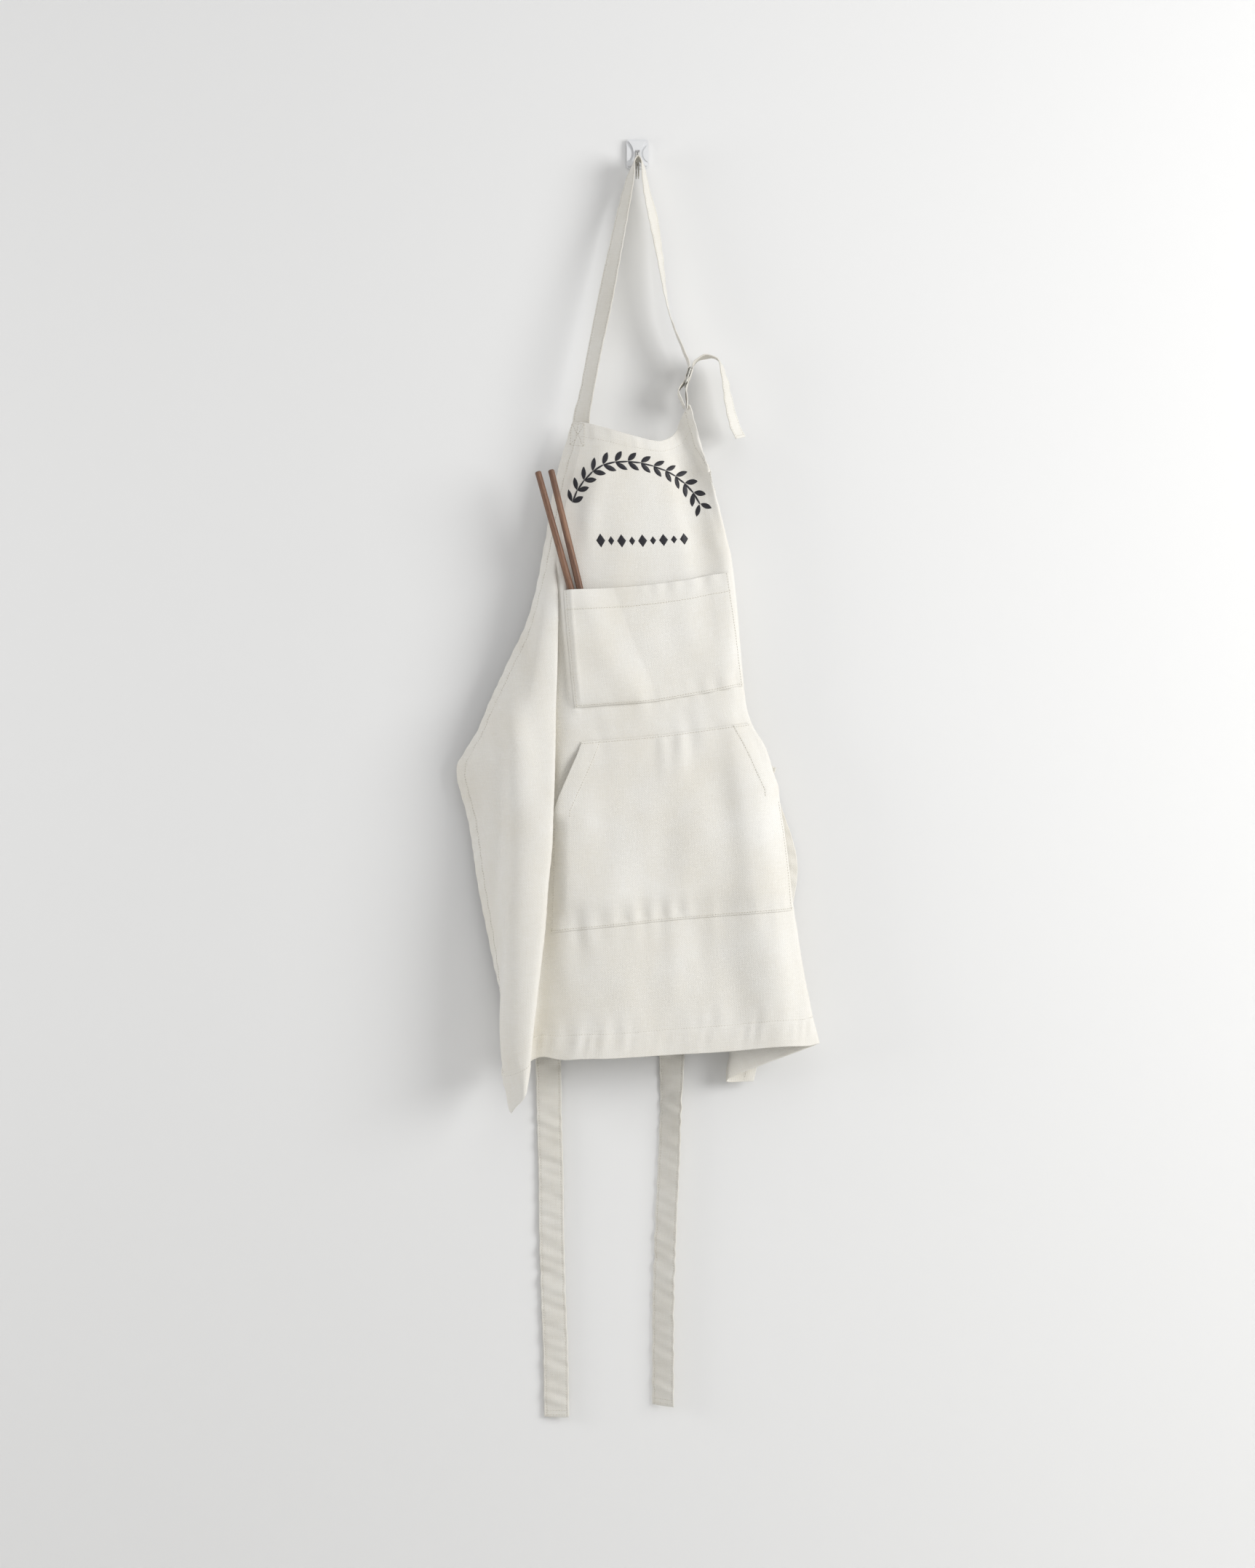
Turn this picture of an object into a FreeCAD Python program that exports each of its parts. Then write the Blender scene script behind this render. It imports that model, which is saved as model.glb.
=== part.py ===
import FreeCAD, Part
import math
import os
import Sketcher

# An apron hanging by its neck strap from a small stick-on wall hook.
# The origin is the middle of the adhesive strip's wall face. +Z is up, +X is to the viewer's
# right and the wall is the plane y = 0, so the whole object is at y below 0.
# The hook, buckle and chopsticks are parametric bodies. The cloth is made of thin closed
# sheets whose draped surfaces run through a few named fold lines.

os.makedirs("parts", exist_ok=True)
doc = FreeCAD.newDocument("apron_on_a_hook")

# Driving sizes in millimetres, with an alias for each in the spreadsheet.
driving_sizes = {
    "strip_width": 16.0,
    "strip_height": 30.0,
    "strip_thickness": 1.2,
    "base_width": 25.5,
    "base_height": 34.0,
    "base_corner": 4.0,
    "plate_thickness": 3.2,
    "bow_depth": 3.0,
    "bow_half_width": 10.8,
    "bow_half_height": 14.6,
    "bow_waist_half": 4.4,
    "waist_height": 2.5,
    "cheek_depth": 1.4,
    "cheek_outer": 12.2,
    "cheek_inner": 6.6,
    "cheek_half_height": 9.5,
    "slot_width": 5.4,
    "slot_height": 2.8,
    "slot_depth": 1.0,
    "wire_diameter": 1.6,
    "wire_spacing": 2.6,
    "wire_hole_diameter": 1.7,
    "wire_hole_depth": 4.6,
    "wire_back_y": -8.6,
    "wire_front_y": -22.0,
    "wire_bend_z": -24.2,
    "wire_tip_z": -15.6,
    "wire_top_bend": 2.0,
    "wire_end_gap": 0.1,
    "strap_width": 28.5,
    "strap_thickness": 1.4,
    "cloth_thickness": 1.6,
    "pocket_thickness": 1.2,
    "pocket_room": 12.6,
    "stick_room": 13.5,
    "seam_gap": 0.7,
    "slide_width": 35.0,
    "slide_length": 19.4,
    "slide_thickness": 2.2,
    "slide_bar": 2.6,
    "slide_window": 29.8,
    "slide_corner": 2.0,
    "slide_edge": 0.6,
    "stick_length": 258.0,
    "stick_head": 7.2,
    "stick_middle": 8.0,
    "stick_tip": 4.6,
    "stick_head_round": 1.2,
    "tie_width": 28.5,
    "tie_thickness": 1.4,
    "tail_turn": 27.0,
}

sheet = doc.addObject("Spreadsheet::Sheet", "Sizes")
for line, (alias, value) in enumerate(driving_sizes.items(), start=1):
    sheet.set("A%d" % line, alias)
    sheet.set("B%d" % line, str(value))
    sheet.setAlias("B%d" % line, alias)
doc.recompute()

sub_parts = []


def size(alias):
    return float(sheet.get(alias))


def vector(x, y, z):
    return FreeCAD.Vector(x, y, z)


def new_body(name):
    body = doc.addObject("PartDesign::Body", name)
    body.Label = name
    sub_parts.append(body)
    return body


def new_feature(name, shape):
    feature = doc.addObject("Part::Feature", name)
    feature.Label = name
    feature.Shape = shape
    sub_parts.append(feature)
    return feature


def new_sketch(body, name, role, depth=None):
    # Attaches a sketch to one of the body's own origin planes, moved out by a sheet formula.
    plane = [item for item in body.Origin.OriginFeatures if item.Role == role][0]
    sketch = body.newObject("Sketcher::SketchObject", name)
    sketch.AttachmentSupport = [(plane, "")]
    sketch.MapMode = "FlatFace"
    if depth:
        sketch.setExpression("AttachmentOffset.Base.z", depth)
    return sketch


def bind(sketch, constraint, name, formula):
    # Adds a named dimension and ties it to the sheet.
    index = sketch.addConstraint(constraint)
    sketch.renameConstraint(index, name)
    sketch.setExpression("Constraints." + name, formula)


def bind_point(sketch, edge, point, name, across, up):
    # Ties one point of a sketch edge to two sheet formulas, measured from the origin.
    bind(sketch, Sketcher.Constraint("DistanceX", -1, 1, edge, point, 1.0), name + "X", across)
    bind(sketch, Sketcher.Constraint("DistanceY", -1, 1, edge, point, 1.0), name + "Y", up)


def centred_rectangle(sketch, width, height, low_y=None):
    # A rectangle about the vertical axis: width and height are sheet formulas.
    wide = 10.0
    tall = 10.0
    corners = [(-wide, -tall), (wide, -tall), (wide, tall), (-wide, tall)]
    for index in range(4):
        start = corners[index]
        end = corners[(index + 1) % 4]
        sketch.addGeometry(Part.LineSegment(vector(*start, 0), vector(*end, 0)), False)
    for index in range(4):
        sketch.addConstraint(Sketcher.Constraint("Coincident", index, 2, (index + 1) % 4, 1))
    for index in (0, 2):
        sketch.addConstraint(Sketcher.Constraint("Horizontal", index))
        sketch.addConstraint(Sketcher.Constraint("Vertical", index + 1))
    low = low_y if low_y else "-(%s) / 2" % height
    bind_point(sketch, 0, 1, "LowLeft", "-(%s) / 2" % width, low)
    bind_point(sketch, 2, 1, "HighRight", "(%s) / 2" % width, "(%s) + (%s)" % (low, height))


def pad(body, name, sketch, length):
    feature = body.newObject("PartDesign::Pad", name)
    feature.Profile = sketch
    feature.setExpression("Length", length)
    doc.recompute()
    return feature


def pocket(body, name, sketch, depth, reverse=False):
    # Cuts, and makes sure that the cut really takes material away.
    before = body.Shape.Volume
    feature = body.newObject("PartDesign::Pocket", name)
    feature.Profile = sketch
    feature.setExpression("Length", depth)
    feature.Reversed = reverse
    doc.recompute()
    if not body.Shape.Volume < before - 0.5:
        raise RuntimeError(name + " cuts nothing")
    return feature


# Hook: adhesive strip, moulded base and bent wire.

def make_adhesive_strip():
    strip = doc.addObject("Part::Box", "adhesive_strip")
    strip.Label = "adhesive_strip"
    strip.setExpression("Length", "Sizes.strip_width")
    strip.setExpression("Width", "Sizes.strip_thickness")
    strip.setExpression("Height", "Sizes.strip_height")
    strip.setExpression("Placement.Base.x", "-Sizes.strip_width / 2")
    strip.setExpression("Placement.Base.y", "-Sizes.strip_thickness")
    strip.setExpression("Placement.Base.z", "-Sizes.strip_height / 2")
    sub_parts.append(strip)


def make_hook_base():
    # A rounded plate carries an hourglass boss with a cheek in each of its two hollows.
    body = new_body("hook_base")
    plate_sketch = new_sketch(body, "PlateOutline", "XZ_Plane", "Sizes.strip_thickness")
    centred_rectangle(plate_sketch, "Sizes.base_width", "Sizes.base_height")
    pad(body, "Plate", plate_sketch, "Sizes.plate_thickness")
    round_off(body, "RoundedCorners", plate_corners, "Sizes.base_corner")

    front = "Sizes.strip_thickness + Sizes.plate_thickness"
    bow = new_sketch(body, "HourglassOutline", "XZ_Plane", front)
    width = size("bow_half_width")
    height = size("bow_half_height")
    waist = size("bow_waist_half")
    corners = [vector(-width, height, 0), vector(width, height, 0),
               vector(width, -height, 0), vector(-width, -height, 0)]
    bow.addGeometry(Part.LineSegment(corners[0], corners[1]), False)
    bow.addGeometry(Part.Arc(corners[1], vector(waist, 0, 0), corners[2]), False)
    bow.addGeometry(Part.LineSegment(corners[2], corners[3]), False)
    bow.addGeometry(Part.Arc(corners[3], vector(-waist, 0, 0), corners[0]), False)
    pad(body, "Hourglass", bow, "Sizes.bow_depth")

    cheek = new_sketch(body, "CheekOutline", "XZ_Plane", front)
    tall = size("cheek_half_height")
    outer = size("cheek_outer")
    cheek.addGeometry(Part.LineSegment(vector(outer, -tall, 0), vector(outer, tall, 0)), False)
    cheek.addGeometry(Part.Arc(vector(outer, tall, 0), vector(size("cheek_inner"), 0, 0),
                               vector(outer, -tall, 0)), False)
    first_cheek = pad(body, "Cheek", cheek, "Sizes.cheek_depth")
    mirror = body.newObject("PartDesign::Mirrored", "BothCheeks")
    mirror.Originals = [first_cheek]
    mirror.MirrorPlane = (cheek, ["V_Axis"])
    body.Tip = mirror
    doc.recompute()

    face = front + " + Sizes.bow_depth"
    slot = new_sketch(body, "SlotOutline", "XZ_Plane", face)
    low = "Sizes.waist_height - Sizes.slot_height / 2"
    centred_rectangle(slot, "Sizes.slot_width", "Sizes.slot_height", low)
    pocket(body, "WireSlot", slot, "Sizes.slot_depth")

    holes = new_sketch(body, "WireHoles", "XZ_Plane", face)
    for side in (-1, 1):
        centre = vector(side, 2.0, 0)
        edge = holes.addGeometry(Part.Circle(centre, vector(0, 0, 1), 0.8), False)
        name = "Left" if side < 0 else "Right"
        bind(holes, Sketcher.Constraint("Diameter", edge, 1.7), name + "Size", "Sizes.wire_hole_diameter")
        bind_point(holes, edge, 3, name, "%d * Sizes.wire_spacing / 2" % side, "Sizes.waist_height")
    pocket(body, "WireBores", holes, "Sizes.wire_hole_depth + Sizes.slot_depth")


def plate_corners(edge):
    # The four upright corners of the plate run along Y at its outer width and height.
    middle = edge.BoundBox.Center
    along = edge.BoundBox.YLength
    near_side = abs(abs(middle.x) - size("base_width") / 2) < 0.01
    near_end = abs(abs(middle.z) - size("base_height") / 2) < 0.01
    return near_side and near_end and along > size("plate_thickness") - 0.01


def round_off(body, name, chooser, radius):
    chosen = ["Edge%d" % (index + 1) for index, edge in enumerate(body.Shape.Edges) if chooser(edge)]
    if not chosen:
        raise RuntimeError(name + " finds no edge")
    base = body.Tip
    fillet = body.newObject("PartDesign::Fillet", name)
    fillet.Base = (base, chosen)
    fillet.setExpression("Radius", radius)
    body.Tip = fillet
    doc.recompute()


def make_wire_hook():
    # One wire bent double: two legs leave the base, run down its face, turn out and up,
    # and a small half circle at the tip joins them.
    half = size("wire_spacing") / 2
    back = size("wire_back_y")
    front = size("wire_front_y")
    low = size("wire_bend_z")
    tip = size("wire_tip_z")
    exit_height = size("waist_height")
    bend = size("wire_top_bend")
    base_front = size("strip_thickness") + size("plate_thickness") + size("bow_depth")
    start = size("wire_hole_depth") + size("slot_depth") - base_front - size("wire_end_gap")
    corner = bend * (1 - math.sqrt(0.5))
    middle_y = (back + front) / 2
    drop = (back - front) / 2
    edges = []
    for side in (-1, 1):
        x = side * half
        leg = [
            Part.LineSegment(vector(x, start, exit_height), vector(x, back + bend, exit_height)),
            Part.Arc(vector(x, back + bend, exit_height), vector(x, back + corner, exit_height - corner),
                     vector(x, back, exit_height - bend)),
            Part.LineSegment(vector(x, back, exit_height - bend), vector(x, back, low)),
            Part.Arc(vector(x, back, low), vector(x, middle_y, low - drop), vector(x, front, low)),
            Part.LineSegment(vector(x, front, low), vector(x, front, tip)),
        ]
        edges += [curve.toShape() for curve in leg]
    over = Part.Arc(vector(-half, front, tip), vector(0, front, tip + half), vector(half, front, tip))
    edges.append(over.toShape())
    path = Part.Wire(Part.__sortEdges__(edges))
    first = path.OrderedVertexes[0].Point
    ring = Part.Circle(first, vector(0, 1, 0), size("wire_diameter") / 2)
    shape = path.makePipeShell([Part.Wire(ring.toShape())], True, False)
    expected = math.pi * (size("wire_diameter") / 2) ** 2 * path.Length
    print("wire volume over section times length:", round(shape.Volume / expected, 4))
    new_feature("wire_hook", shape)


# Cloth. Each fold line runs from the top hem to the bottom hem, through the same 13 levels,
# which follow the weave: 0 top hem, 4 and 5 the bib pocket's top and bottom, 6 the hand
# pocket's top, 7 the waist corners, 10 the hand pocket's bottom and 12 the bottom hem.

fold_lines = [
    # left_edge: the armhole and side edge, back by the wall at the waist corner
    [(-76, -30, -317), (-91, -32, -366), (-100, -34, -411), (-107, -36, -466), (-119, -36, -520),
     (-178, -28, -657), (-199, -22, -695), (-209, -18, -722), (-195, -18, -779), (-185, -20, -847),
     (-169, -24, -933), (-153, -26, -1007), (-157, -24, -1073)],
    # wing_outer: the left wing coming forward from its edge
    [(-72, -33, -317), (-87, -36, -367), (-96, -38, -411), (-104, -40, -466), (-112, -46, -520),
     (-156, -52, -657), (-171, -50, -694), (-178, -46, -724), (-168, -46, -779), (-164, -46, -844),
     (-157, -50, -928), (-157, -52, -1006), (-152, -50, -1086)],
    # wing_front: the left wing's most forward part, with the lowest tip of the hem
    [(-69, -36, -318), (-82, -40, -368), (-92, -43, -412), (-101, -46, -467), (-104, -56, -520),
     (-128, -72, -656), (-136, -76, -693), (-139, -78, -723), (-135, -80, -775), (-136, -82, -839),
     (-136, -84, -920), (-141, -84, -1005), (-143, -80, -1107)],
    # ridge: the rounded fold that stands in front of the panel
    [(-66, -40, -318), (-78, -44, -369), (-88, -47, -412), (-96, -52, -467), (-93, -60, -519),
     (-93, -66, -652), (-94, -72, -691), (-95, -76, -722), (-96, -80, -770), (-100, -84, -833),
     (-108, -88, -912), (-118, -92, -999), (-126, -94, -1090)],
    # valley: the fold hidden behind the ridge
    [(-62, -43, -319), (-75, -47, -370), (-85, -50, -413), (-91, -56, -468), (-95, -52, -516),
     (-100, -50, -650), (-102, -50, -688), (-104, -50, -720), (-106, -50, -769), (-110, -50, -831),
     (-116, -50, -909), (-120, -52, -986), (-125, -54, -1063)],
    # left_crease: where the panel starts
    [(-59, -47, -320), (-70, -51, -371), (-80, -54, -413), (-84, -58, -469), (-84, -58, -514),
     (-78, -58, -649), (-80, -59, -688), (-86, -59, -719), (-89, -60, -767), (-86, -60, -829),
     (-82, -61, -904), (-77, -62, -977), (-75, -63, -1051)],
    # panel_left
    [(-37, -56, -327), (-43, -58, -374), (-47, -60, -418), (-45, -61, -468), (-44, -61, -512),
     (-25, -60, -645), (-30, -60, -684), (-32, -60, -716), (-34, -61, -764), (-34, -62, -827),
     (-32, -63, -899), (-29, -64, -975), (-26, -65, -1049)],
    # panel_middle
    [(-9, -60, -335), (-7, -61, -379), (-5, -62, -421), (-1, -63, -467), (-1, -63, -509),
     (15, -61, -642), (24, -60, -679), (26, -59, -710), (26, -59, -757), (30, -60, -822),
     (33, -60, -892), (38, -61, -968), (41, -62, -1045)],
    # panel_right
    [(19, -55, -341), (32, -56, -380), (41, -57, -421), (49, -58, -463), (49, -60, -503),
     (57, -60, -635), (70, -61, -673), (74, -60, -704), (78, -60, -750), (85, -61, -815),
     (90, -62, -887), (97, -63, -963), (103, -64, -1041)],
    # right_crease: hollow down the bib and the most forward line below the waist
    [(32, -46, -339), (53, -45, -375), (67, -48, -417), (75, -50, -459), (80, -53, -497),
     (91, -60, -629), (105, -64, -668), (111, -66, -700), (120, -68, -745), (128, -70, -809),
     (137, -72, -883), (151, -74, -957), (161, -74, -1035)],
    # right_turn: the panel going back towards the wall
    [(43, -36, -331), (68, -46, -370), (82, -52, -415), (93, -55, -457), (102, -57, -493),
     (113, -56, -624), (122, -57, -666), (135, -58, -696), (149, -60, -742), (160, -60, -806),
     (168, -60, -881), (180, -62, -955), (195, -62, -1035)],
    # right_side: the outermost line on the right
    [(49, -32, -317), (76, -55, -367), (91, -57, -413), (103, -52, -455), (110, -48, -490),
     (121, -42, -623), (130, -44, -664), (145, -44, -693), (157, -44, -739), (167, -44, -804),
     (175, -46, -880), (186, -46, -955), (203, -46, -1036)],
    # back_fold: the fold of the right wing, close to the wall
    [(54, -39, -306), (79, -58, -366), (93, -50, -412), (101, -38, -454), (97, -30, -490),
     (71, -24, -627), (75, -24, -670), (83, -26, -703), (96, -26, -752), (113, -26, -821),
     (113, -26, -899), (114, -26, -983), (105, -26, -1077)],
    # right_edge: the right armhole and side edge
    [(60, -50, -299), (78, -50, -364), (85, -40, -411), (86, -28, -453), (73, -20, -492),
     (109, -13, -623), (124, -13, -674), (151, -13, -710), (166, -13, -757), (186, -13, -830),
     (173, -13, -910), (154, -13, -995), (135, -13, -1081)],
]
level_count = len(fold_lines[0])
line_count = len(fold_lines)


def spline_point(points, place):
    # Catmull-Rom curve through the points, where place counts points along it.
    last = len(points) - 1
    start = min(max(int(math.floor(place)), 0), last - 1)
    part = place - start
    here = points[start]
    ahead = points[start + 1]
    before = points[start - 1] if start > 0 else here * 2 - ahead
    after = points[start + 2] if start + 2 <= last else ahead * 2 - here
    slope_here = (ahead - before) * 0.5
    slope_ahead = (after - here) * 0.5
    square = part * part
    cube = square * part
    return (here * (2 * cube - 3 * square + 1) + slope_here * (cube - 2 * square + part)
            + ahead * (3 * square - 2 * cube) + slope_ahead * (cube - square))


fold_points = [[vector(*point) for point in line] for line in fold_lines]


def cloth_point(level, line):
    # A point on the front of the apron cloth.
    across = [spline_point(points, level) for points in fold_points]
    return spline_point(across, line)


def grid_normal(grid, row, column):
    # The front normal of a grid whose rows go down and whose columns go to the right.
    up = grid[max(row - 1, 0)][column]
    down = grid[min(row + 1, len(grid) - 1)][column]
    left = grid[row][max(column - 1, 0)]
    right = grid[row][min(column + 1, len(grid[0]) - 1)]
    normal = (down - up).cross(right - left)
    normal.normalize()
    return normal


def smooth_surface(poles):
    # A B-spline surface whose poles are the grid, so it runs smoothly beside the points.
    # It is cubic along the cloth and straight across a rim, which has only two rows.
    degrees = []
    knots = []
    repeats = []
    for count in (len(poles), len(poles[0])):
        degree = min(3, count - 1)
        spans = count - degree
        degrees.append(degree)
        knots.append([float(knot) for knot in range(spans + 1)])
        repeats.append([degree + 1] + [1] * (spans - 1) + [degree + 1])
    surface = Part.BSplineSurface()
    surface.buildFromPolesMultsKnots(poles, repeats[0], repeats[1], knots[0], knots[1],
                                     False, False, degrees[0], degrees[1])
    return surface


def sheet_solid(grid, thickness, front_share):
    # A closed sheet around a grid of points: front_share of its thickness is in front of it.
    front = []
    back = []
    for row in range(len(grid)):
        normals = [grid_normal(grid, row, column) for column in range(len(grid[0]))]
        pairs = list(zip(grid[row], normals))
        front.append([point + normal * (thickness * front_share) for point, normal in pairs])
        back.append([point - normal * (thickness * (1 - front_share)) for point, normal in pairs])
    layers = [front, back]
    rims = [[layer[0] for layer in layers], [layer[-1] for layer in layers]]
    rims += [[[row[side] for row in layer] for layer in layers] for side in (0, -1)]
    shell = Part.makeShell([smooth_surface(poles).toShape() for poles in layers + rims])
    shell.sewShape()
    solid = Part.makeSolid(shell)
    if solid.Volume < 0:
        solid.reverse()
    return solid


def make_apron_body():
    steps = 3
    rows = [level / steps for level in range((level_count - 1) * steps + 1)]
    columns = [line / steps for line in range((line_count - 1) * steps + 1)]
    grid = [[cloth_point(level, line) for line in columns] for level in rows]
    new_feature("apron_body", sheet_solid(grid, size("cloth_thickness"), 0.0))


def step_up(value, start, end):
    # Smooth rise from 0 at start to 1 at end.
    part = min(max((value - start) / (end - start), 0.0), 1.0)
    return part * part * (3 - 2 * part)


def mixed(table, place):
    # Straight-line reading of a list of (place, value) pairs.
    for (start, low), (end, high) in zip(table, table[1:]):
        if place <= end:
            return low + (high - low) * (place - start) / (end - start)
    return table[-1][1]


def lifted_point(level, line, lift):
    # A point in front of the cloth. At the left fold it is lifted straight forward.
    here = cloth_point(level, line)
    across = cloth_point(level, min(line + 0.05, line_count - 1)) - cloth_point(level, line - 0.05)
    along = cloth_point(level + 0.05, line) - cloth_point(level - 0.05, line)
    normal = along.cross(across)
    normal.normalize()
    normal.x = max(normal.x, 0.0)
    normal.normalize()
    return here + normal * lift


def make_bib_pocket():
    # Sewn along its two sides and its bottom, slack enough for the chopsticks at the left.
    gap = size("seam_gap") + size("pocket_thickness")
    across_steps = [0, 0.02, 0.045, 0.09, 0.18, 0.28, 0.4, 0.55, 0.7, 0.83, 0.92, 0.97, 1]
    room = [(0, 0.0), (0.02, 0.45), (0.045, 0.97), (0.09, 1.0), (0.28, 1.0), (0.4, 0.8), (0.83, 0.74),
            (0.92, 0.6), (0.97, 0.3), (1, 0.0)]
    down_steps = [0, 0.15, 0.3, 0.45, 0.6, 0.72, 0.82, 0.9, 0.95, 0.98, 1]
    grid = []
    for down in down_steps:
        left = 4.72 + 0.36 * down
        right = 10.1 + 0.6 * down
        closing = math.sqrt(1 - down ** 8)
        points = []
        for across in across_steps:
            lift = gap + size("stick_room") * mixed(room, across) * closing
            points.append(lifted_point(4 + down, left + (right - left) * across, lift))
        grid.append(points)
    new_feature("bib_pocket", sheet_solid(grid, size("pocket_thickness"), 0.0))


def make_hand_pocket():
    # Sewn along its top, its bottom and its short sides; the slanted corners are the mouths.
    gap = size("seam_gap") + size("pocket_thickness")
    across_steps = [0, 0.025, 0.06] + [step / 20 for step in range(2, 19)] + [0.95, 0.98, 1]
    down_steps = [0, 0.03, 0.07, 0.14, 0.22, 0.3, 0.4, 0.5, 0.6, 0.75, 0.86, 0.93, 0.97, 1]
    left_line = [(0, 5.32), (0.3, 5.02), (0.5, 4.88), (1, 4.74)]
    right_line = [(0, 10.5), (0.5, 11.0), (1, 11.0)]
    grid = []
    for down in down_steps:
        left = mixed(left_line, down)
        right = mixed(right_line, down)
        ends = step_up(down, 0, 0.07) * step_up(1 - down, 0, 0.1)
        sewn_side = step_up(down, 0.34, 0.5)
        points = []
        for across in across_steps:
            side = step_up(across, 0, 0.06) * step_up(1 - across, 0, 0.1)
            side = 1 - sewn_side * (1 - side)
            lift = gap + size("pocket_room") * ends * side
            points.append(lifted_point(6 + 4 * down, left + (right - left) * across, lift))
        grid.append(points)
    new_feature("hand_pocket", sheet_solid(grid, size("pocket_thickness"), 0.0))


# Neck strap, buckle, tail and anchor loop. The slide stands with its width along Y.

slide_centre = vector(58, -36, -266)
slide_tilt = math.radians(18.6)
slide_up = vector(math.sin(slide_tilt), 0, math.cos(slide_tilt))
slide_out = vector(math.cos(slide_tilt), 0, -math.sin(slide_tilt))


def at_slide(up, out, y):
    return slide_centre + slide_up * up + slide_out * out + vector(0, y, 0)


def make_slide_buckle():
    # A flat metal slide with a middle bar and two windows.
    body = new_body("slide_buckle")
    outline = new_sketch(body, "SlideOutline", "XY_Plane")
    centred_rectangle(outline, "Sizes.slide_width", "Sizes.slide_length")
    slab = pad(body, "Slab", outline, "Sizes.slide_thickness")
    slab.Midplane = True
    doc.recompute()
    window_height = "(Sizes.slide_length - 3 * Sizes.slide_bar) / 2"
    for name, low in (("UpperWindow", "Sizes.slide_bar / 2"),
                      ("LowerWindow", "-Sizes.slide_bar / 2 - %s" % window_height)):
        window = new_sketch(body, name + "Outline", "XY_Plane", "Sizes.slide_thickness / 2")
        centred_rectangle(window, "Sizes.slide_window", window_height, low)
        pocket(body, name, window, "Sizes.slide_thickness")
    round_off(body, "SlideCorners", slide_corners, "Sizes.slide_corner")
    round_off(body, "SlideEdges", slide_long_edges, "Sizes.slide_edge")
    body.Placement = FreeCAD.Placement(slide_centre, FreeCAD.Rotation(vector(0, 1, 0), slide_up, slide_out))


def slide_corners(edge):
    box = edge.BoundBox
    wide = abs(abs(box.Center.x) - size("slide_width") / 2) < 0.01
    return wide and box.ZLength > size("slide_thickness") - 0.01 and box.YLength < 0.01


def slide_long_edges(edge):
    # The edges of the three bars, which run along the slide's width.
    box = edge.BoundBox
    return box.XLength > 20 and box.YLength < 0.01 and box.ZLength < 0.01


def ribbon_grid(pairs, steps=2):
    # Rows of four points between the two edges of a strap, along a smooth curve.
    fronts = [vector(*front) for front, back in pairs]
    backs = [vector(*back) for front, back in pairs]
    grid = []
    for step in range((len(pairs) - 1) * steps + 1):
        front = spline_point(fronts, step / steps)
        back = spline_point(backs, step / steps)
        grid.append([front + (back - front) * (column / 3.0) for column in range(4)])
    return grid


# Each pair is the strap's front and back edge, from the end sewn behind the bib's corner up the
# left side, over the wire and down the right side to the slide.
strap_route = [
    ((-57.6, -47.9, -352), (-78.1, -31.9, -347.5)),
    ((-57, -45.9, -337), (-76.8, -28.7, -333)),
    ((-55.9, -44.4, -320), (-75, -25.7, -317)),
    ((-54.4, -45.4, -305), (-72.6, -26.1, -302)),
    ((-50.5, -48, -284), (-66.5, -28, -281)),
    ((-41, -48, -236), (-57, -26, -232)),
    ((-27, -45, -169), (-44, -22, -165)),
    ((-12, -41, -83), (-25, -17, -78)),
    ((-5, -39, -42), (-14, -13, -36)),
    ((-3.4, -38.4, -24), (-8, -11.4, -20)),
    ((-3.0, -38.3, -15.4), (-5, -10.8, -14.4)),
    ((0.8, -38.3, -9.8), (0.8, -10.6, -9.6)),
    ((4.6, -38.3, -15.4), (6.6, -10.8, -14.4)),
    ((5.0, -38.4, -25), (9, -11.4, -21)),
    ((7.5, -39, -51), (14.5, -13, -46)),
    ((13, -41, -82), (23, -16, -77)),
    ((22, -44, -125), (29, -19, -121)),
    ((36, -49, -192), (37.5, -21.5, -190)),
]
strap_turn = [(17, -5.0), (9, -2.6), (3, -2.4), (0, -2.5), (-2.0, -1.9), (-2.7, 0), (-2.0, 1.9), (0, 2.5),
              (3, 2.4), (9, 2.4)]
tail_route = [(9.6, 2.5), (12, 1.7), (15.8, 1.0), (21, 3), (26.8, 8), (32, 18.5), (29.5, 28.5), (18.9, 37),
              (2.8, 46.3), (-18.6, 58), (-36.6, 70.3), (-46, 79.9)]
loop_route = [(-36, 11.5), (-25, 7.5), (-16, 3.6), (-11.5, 2.4), (-8.4, 2.4), (-6.5, 1.8), (-5.8, 0),
              (-6.5, -1.8), (-8.4, -2.4), (-14, -4.7), (-20, -4.7), (-27, 1.2), (-33.5, 7)]


def across_slide(route, front, back):
    # Turns places beside the slide into pairs of strap edges.
    pairs = []
    for up, out in route:
        ahead = at_slide(up, out, front)
        behind = at_slide(up, out, back)
        pairs.append((tuple(ahead), tuple(behind)))
    return pairs


def make_neck_strap():
    half = size("strap_width") / 2
    pairs = strap_route + across_slide(strap_turn, -half, half)
    grid = ribbon_grid(pairs)
    new_feature("neck_strap", sheet_solid(grid, size("strap_thickness"), 0.5))


def make_strap_tail():
    # The tail turns about its own length on its way down, so that its face comes to the front.
    half = size("strap_width") / 2
    middles = [at_slide(up, out, 0) for up, out in tail_route]
    pairs = []
    for index, middle in enumerate(middles):
        along = middles[min(index + 1, len(middles) - 1)] - middles[max(index - 1, 0)]
        along.normalize()
        turn = math.radians(size("tail_turn")) * step_up(index / (len(middles) - 1), 0.3, 1.0)
        across = vector(0, 1, 0) * math.cos(turn) + along.cross(vector(0, 1, 0)) * math.sin(turn)
        pairs.append((tuple(middle - across * half), tuple(middle + across * half)))
    new_feature("strap_tail", sheet_solid(ribbon_grid(pairs), size("strap_thickness"), 0.5))


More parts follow.
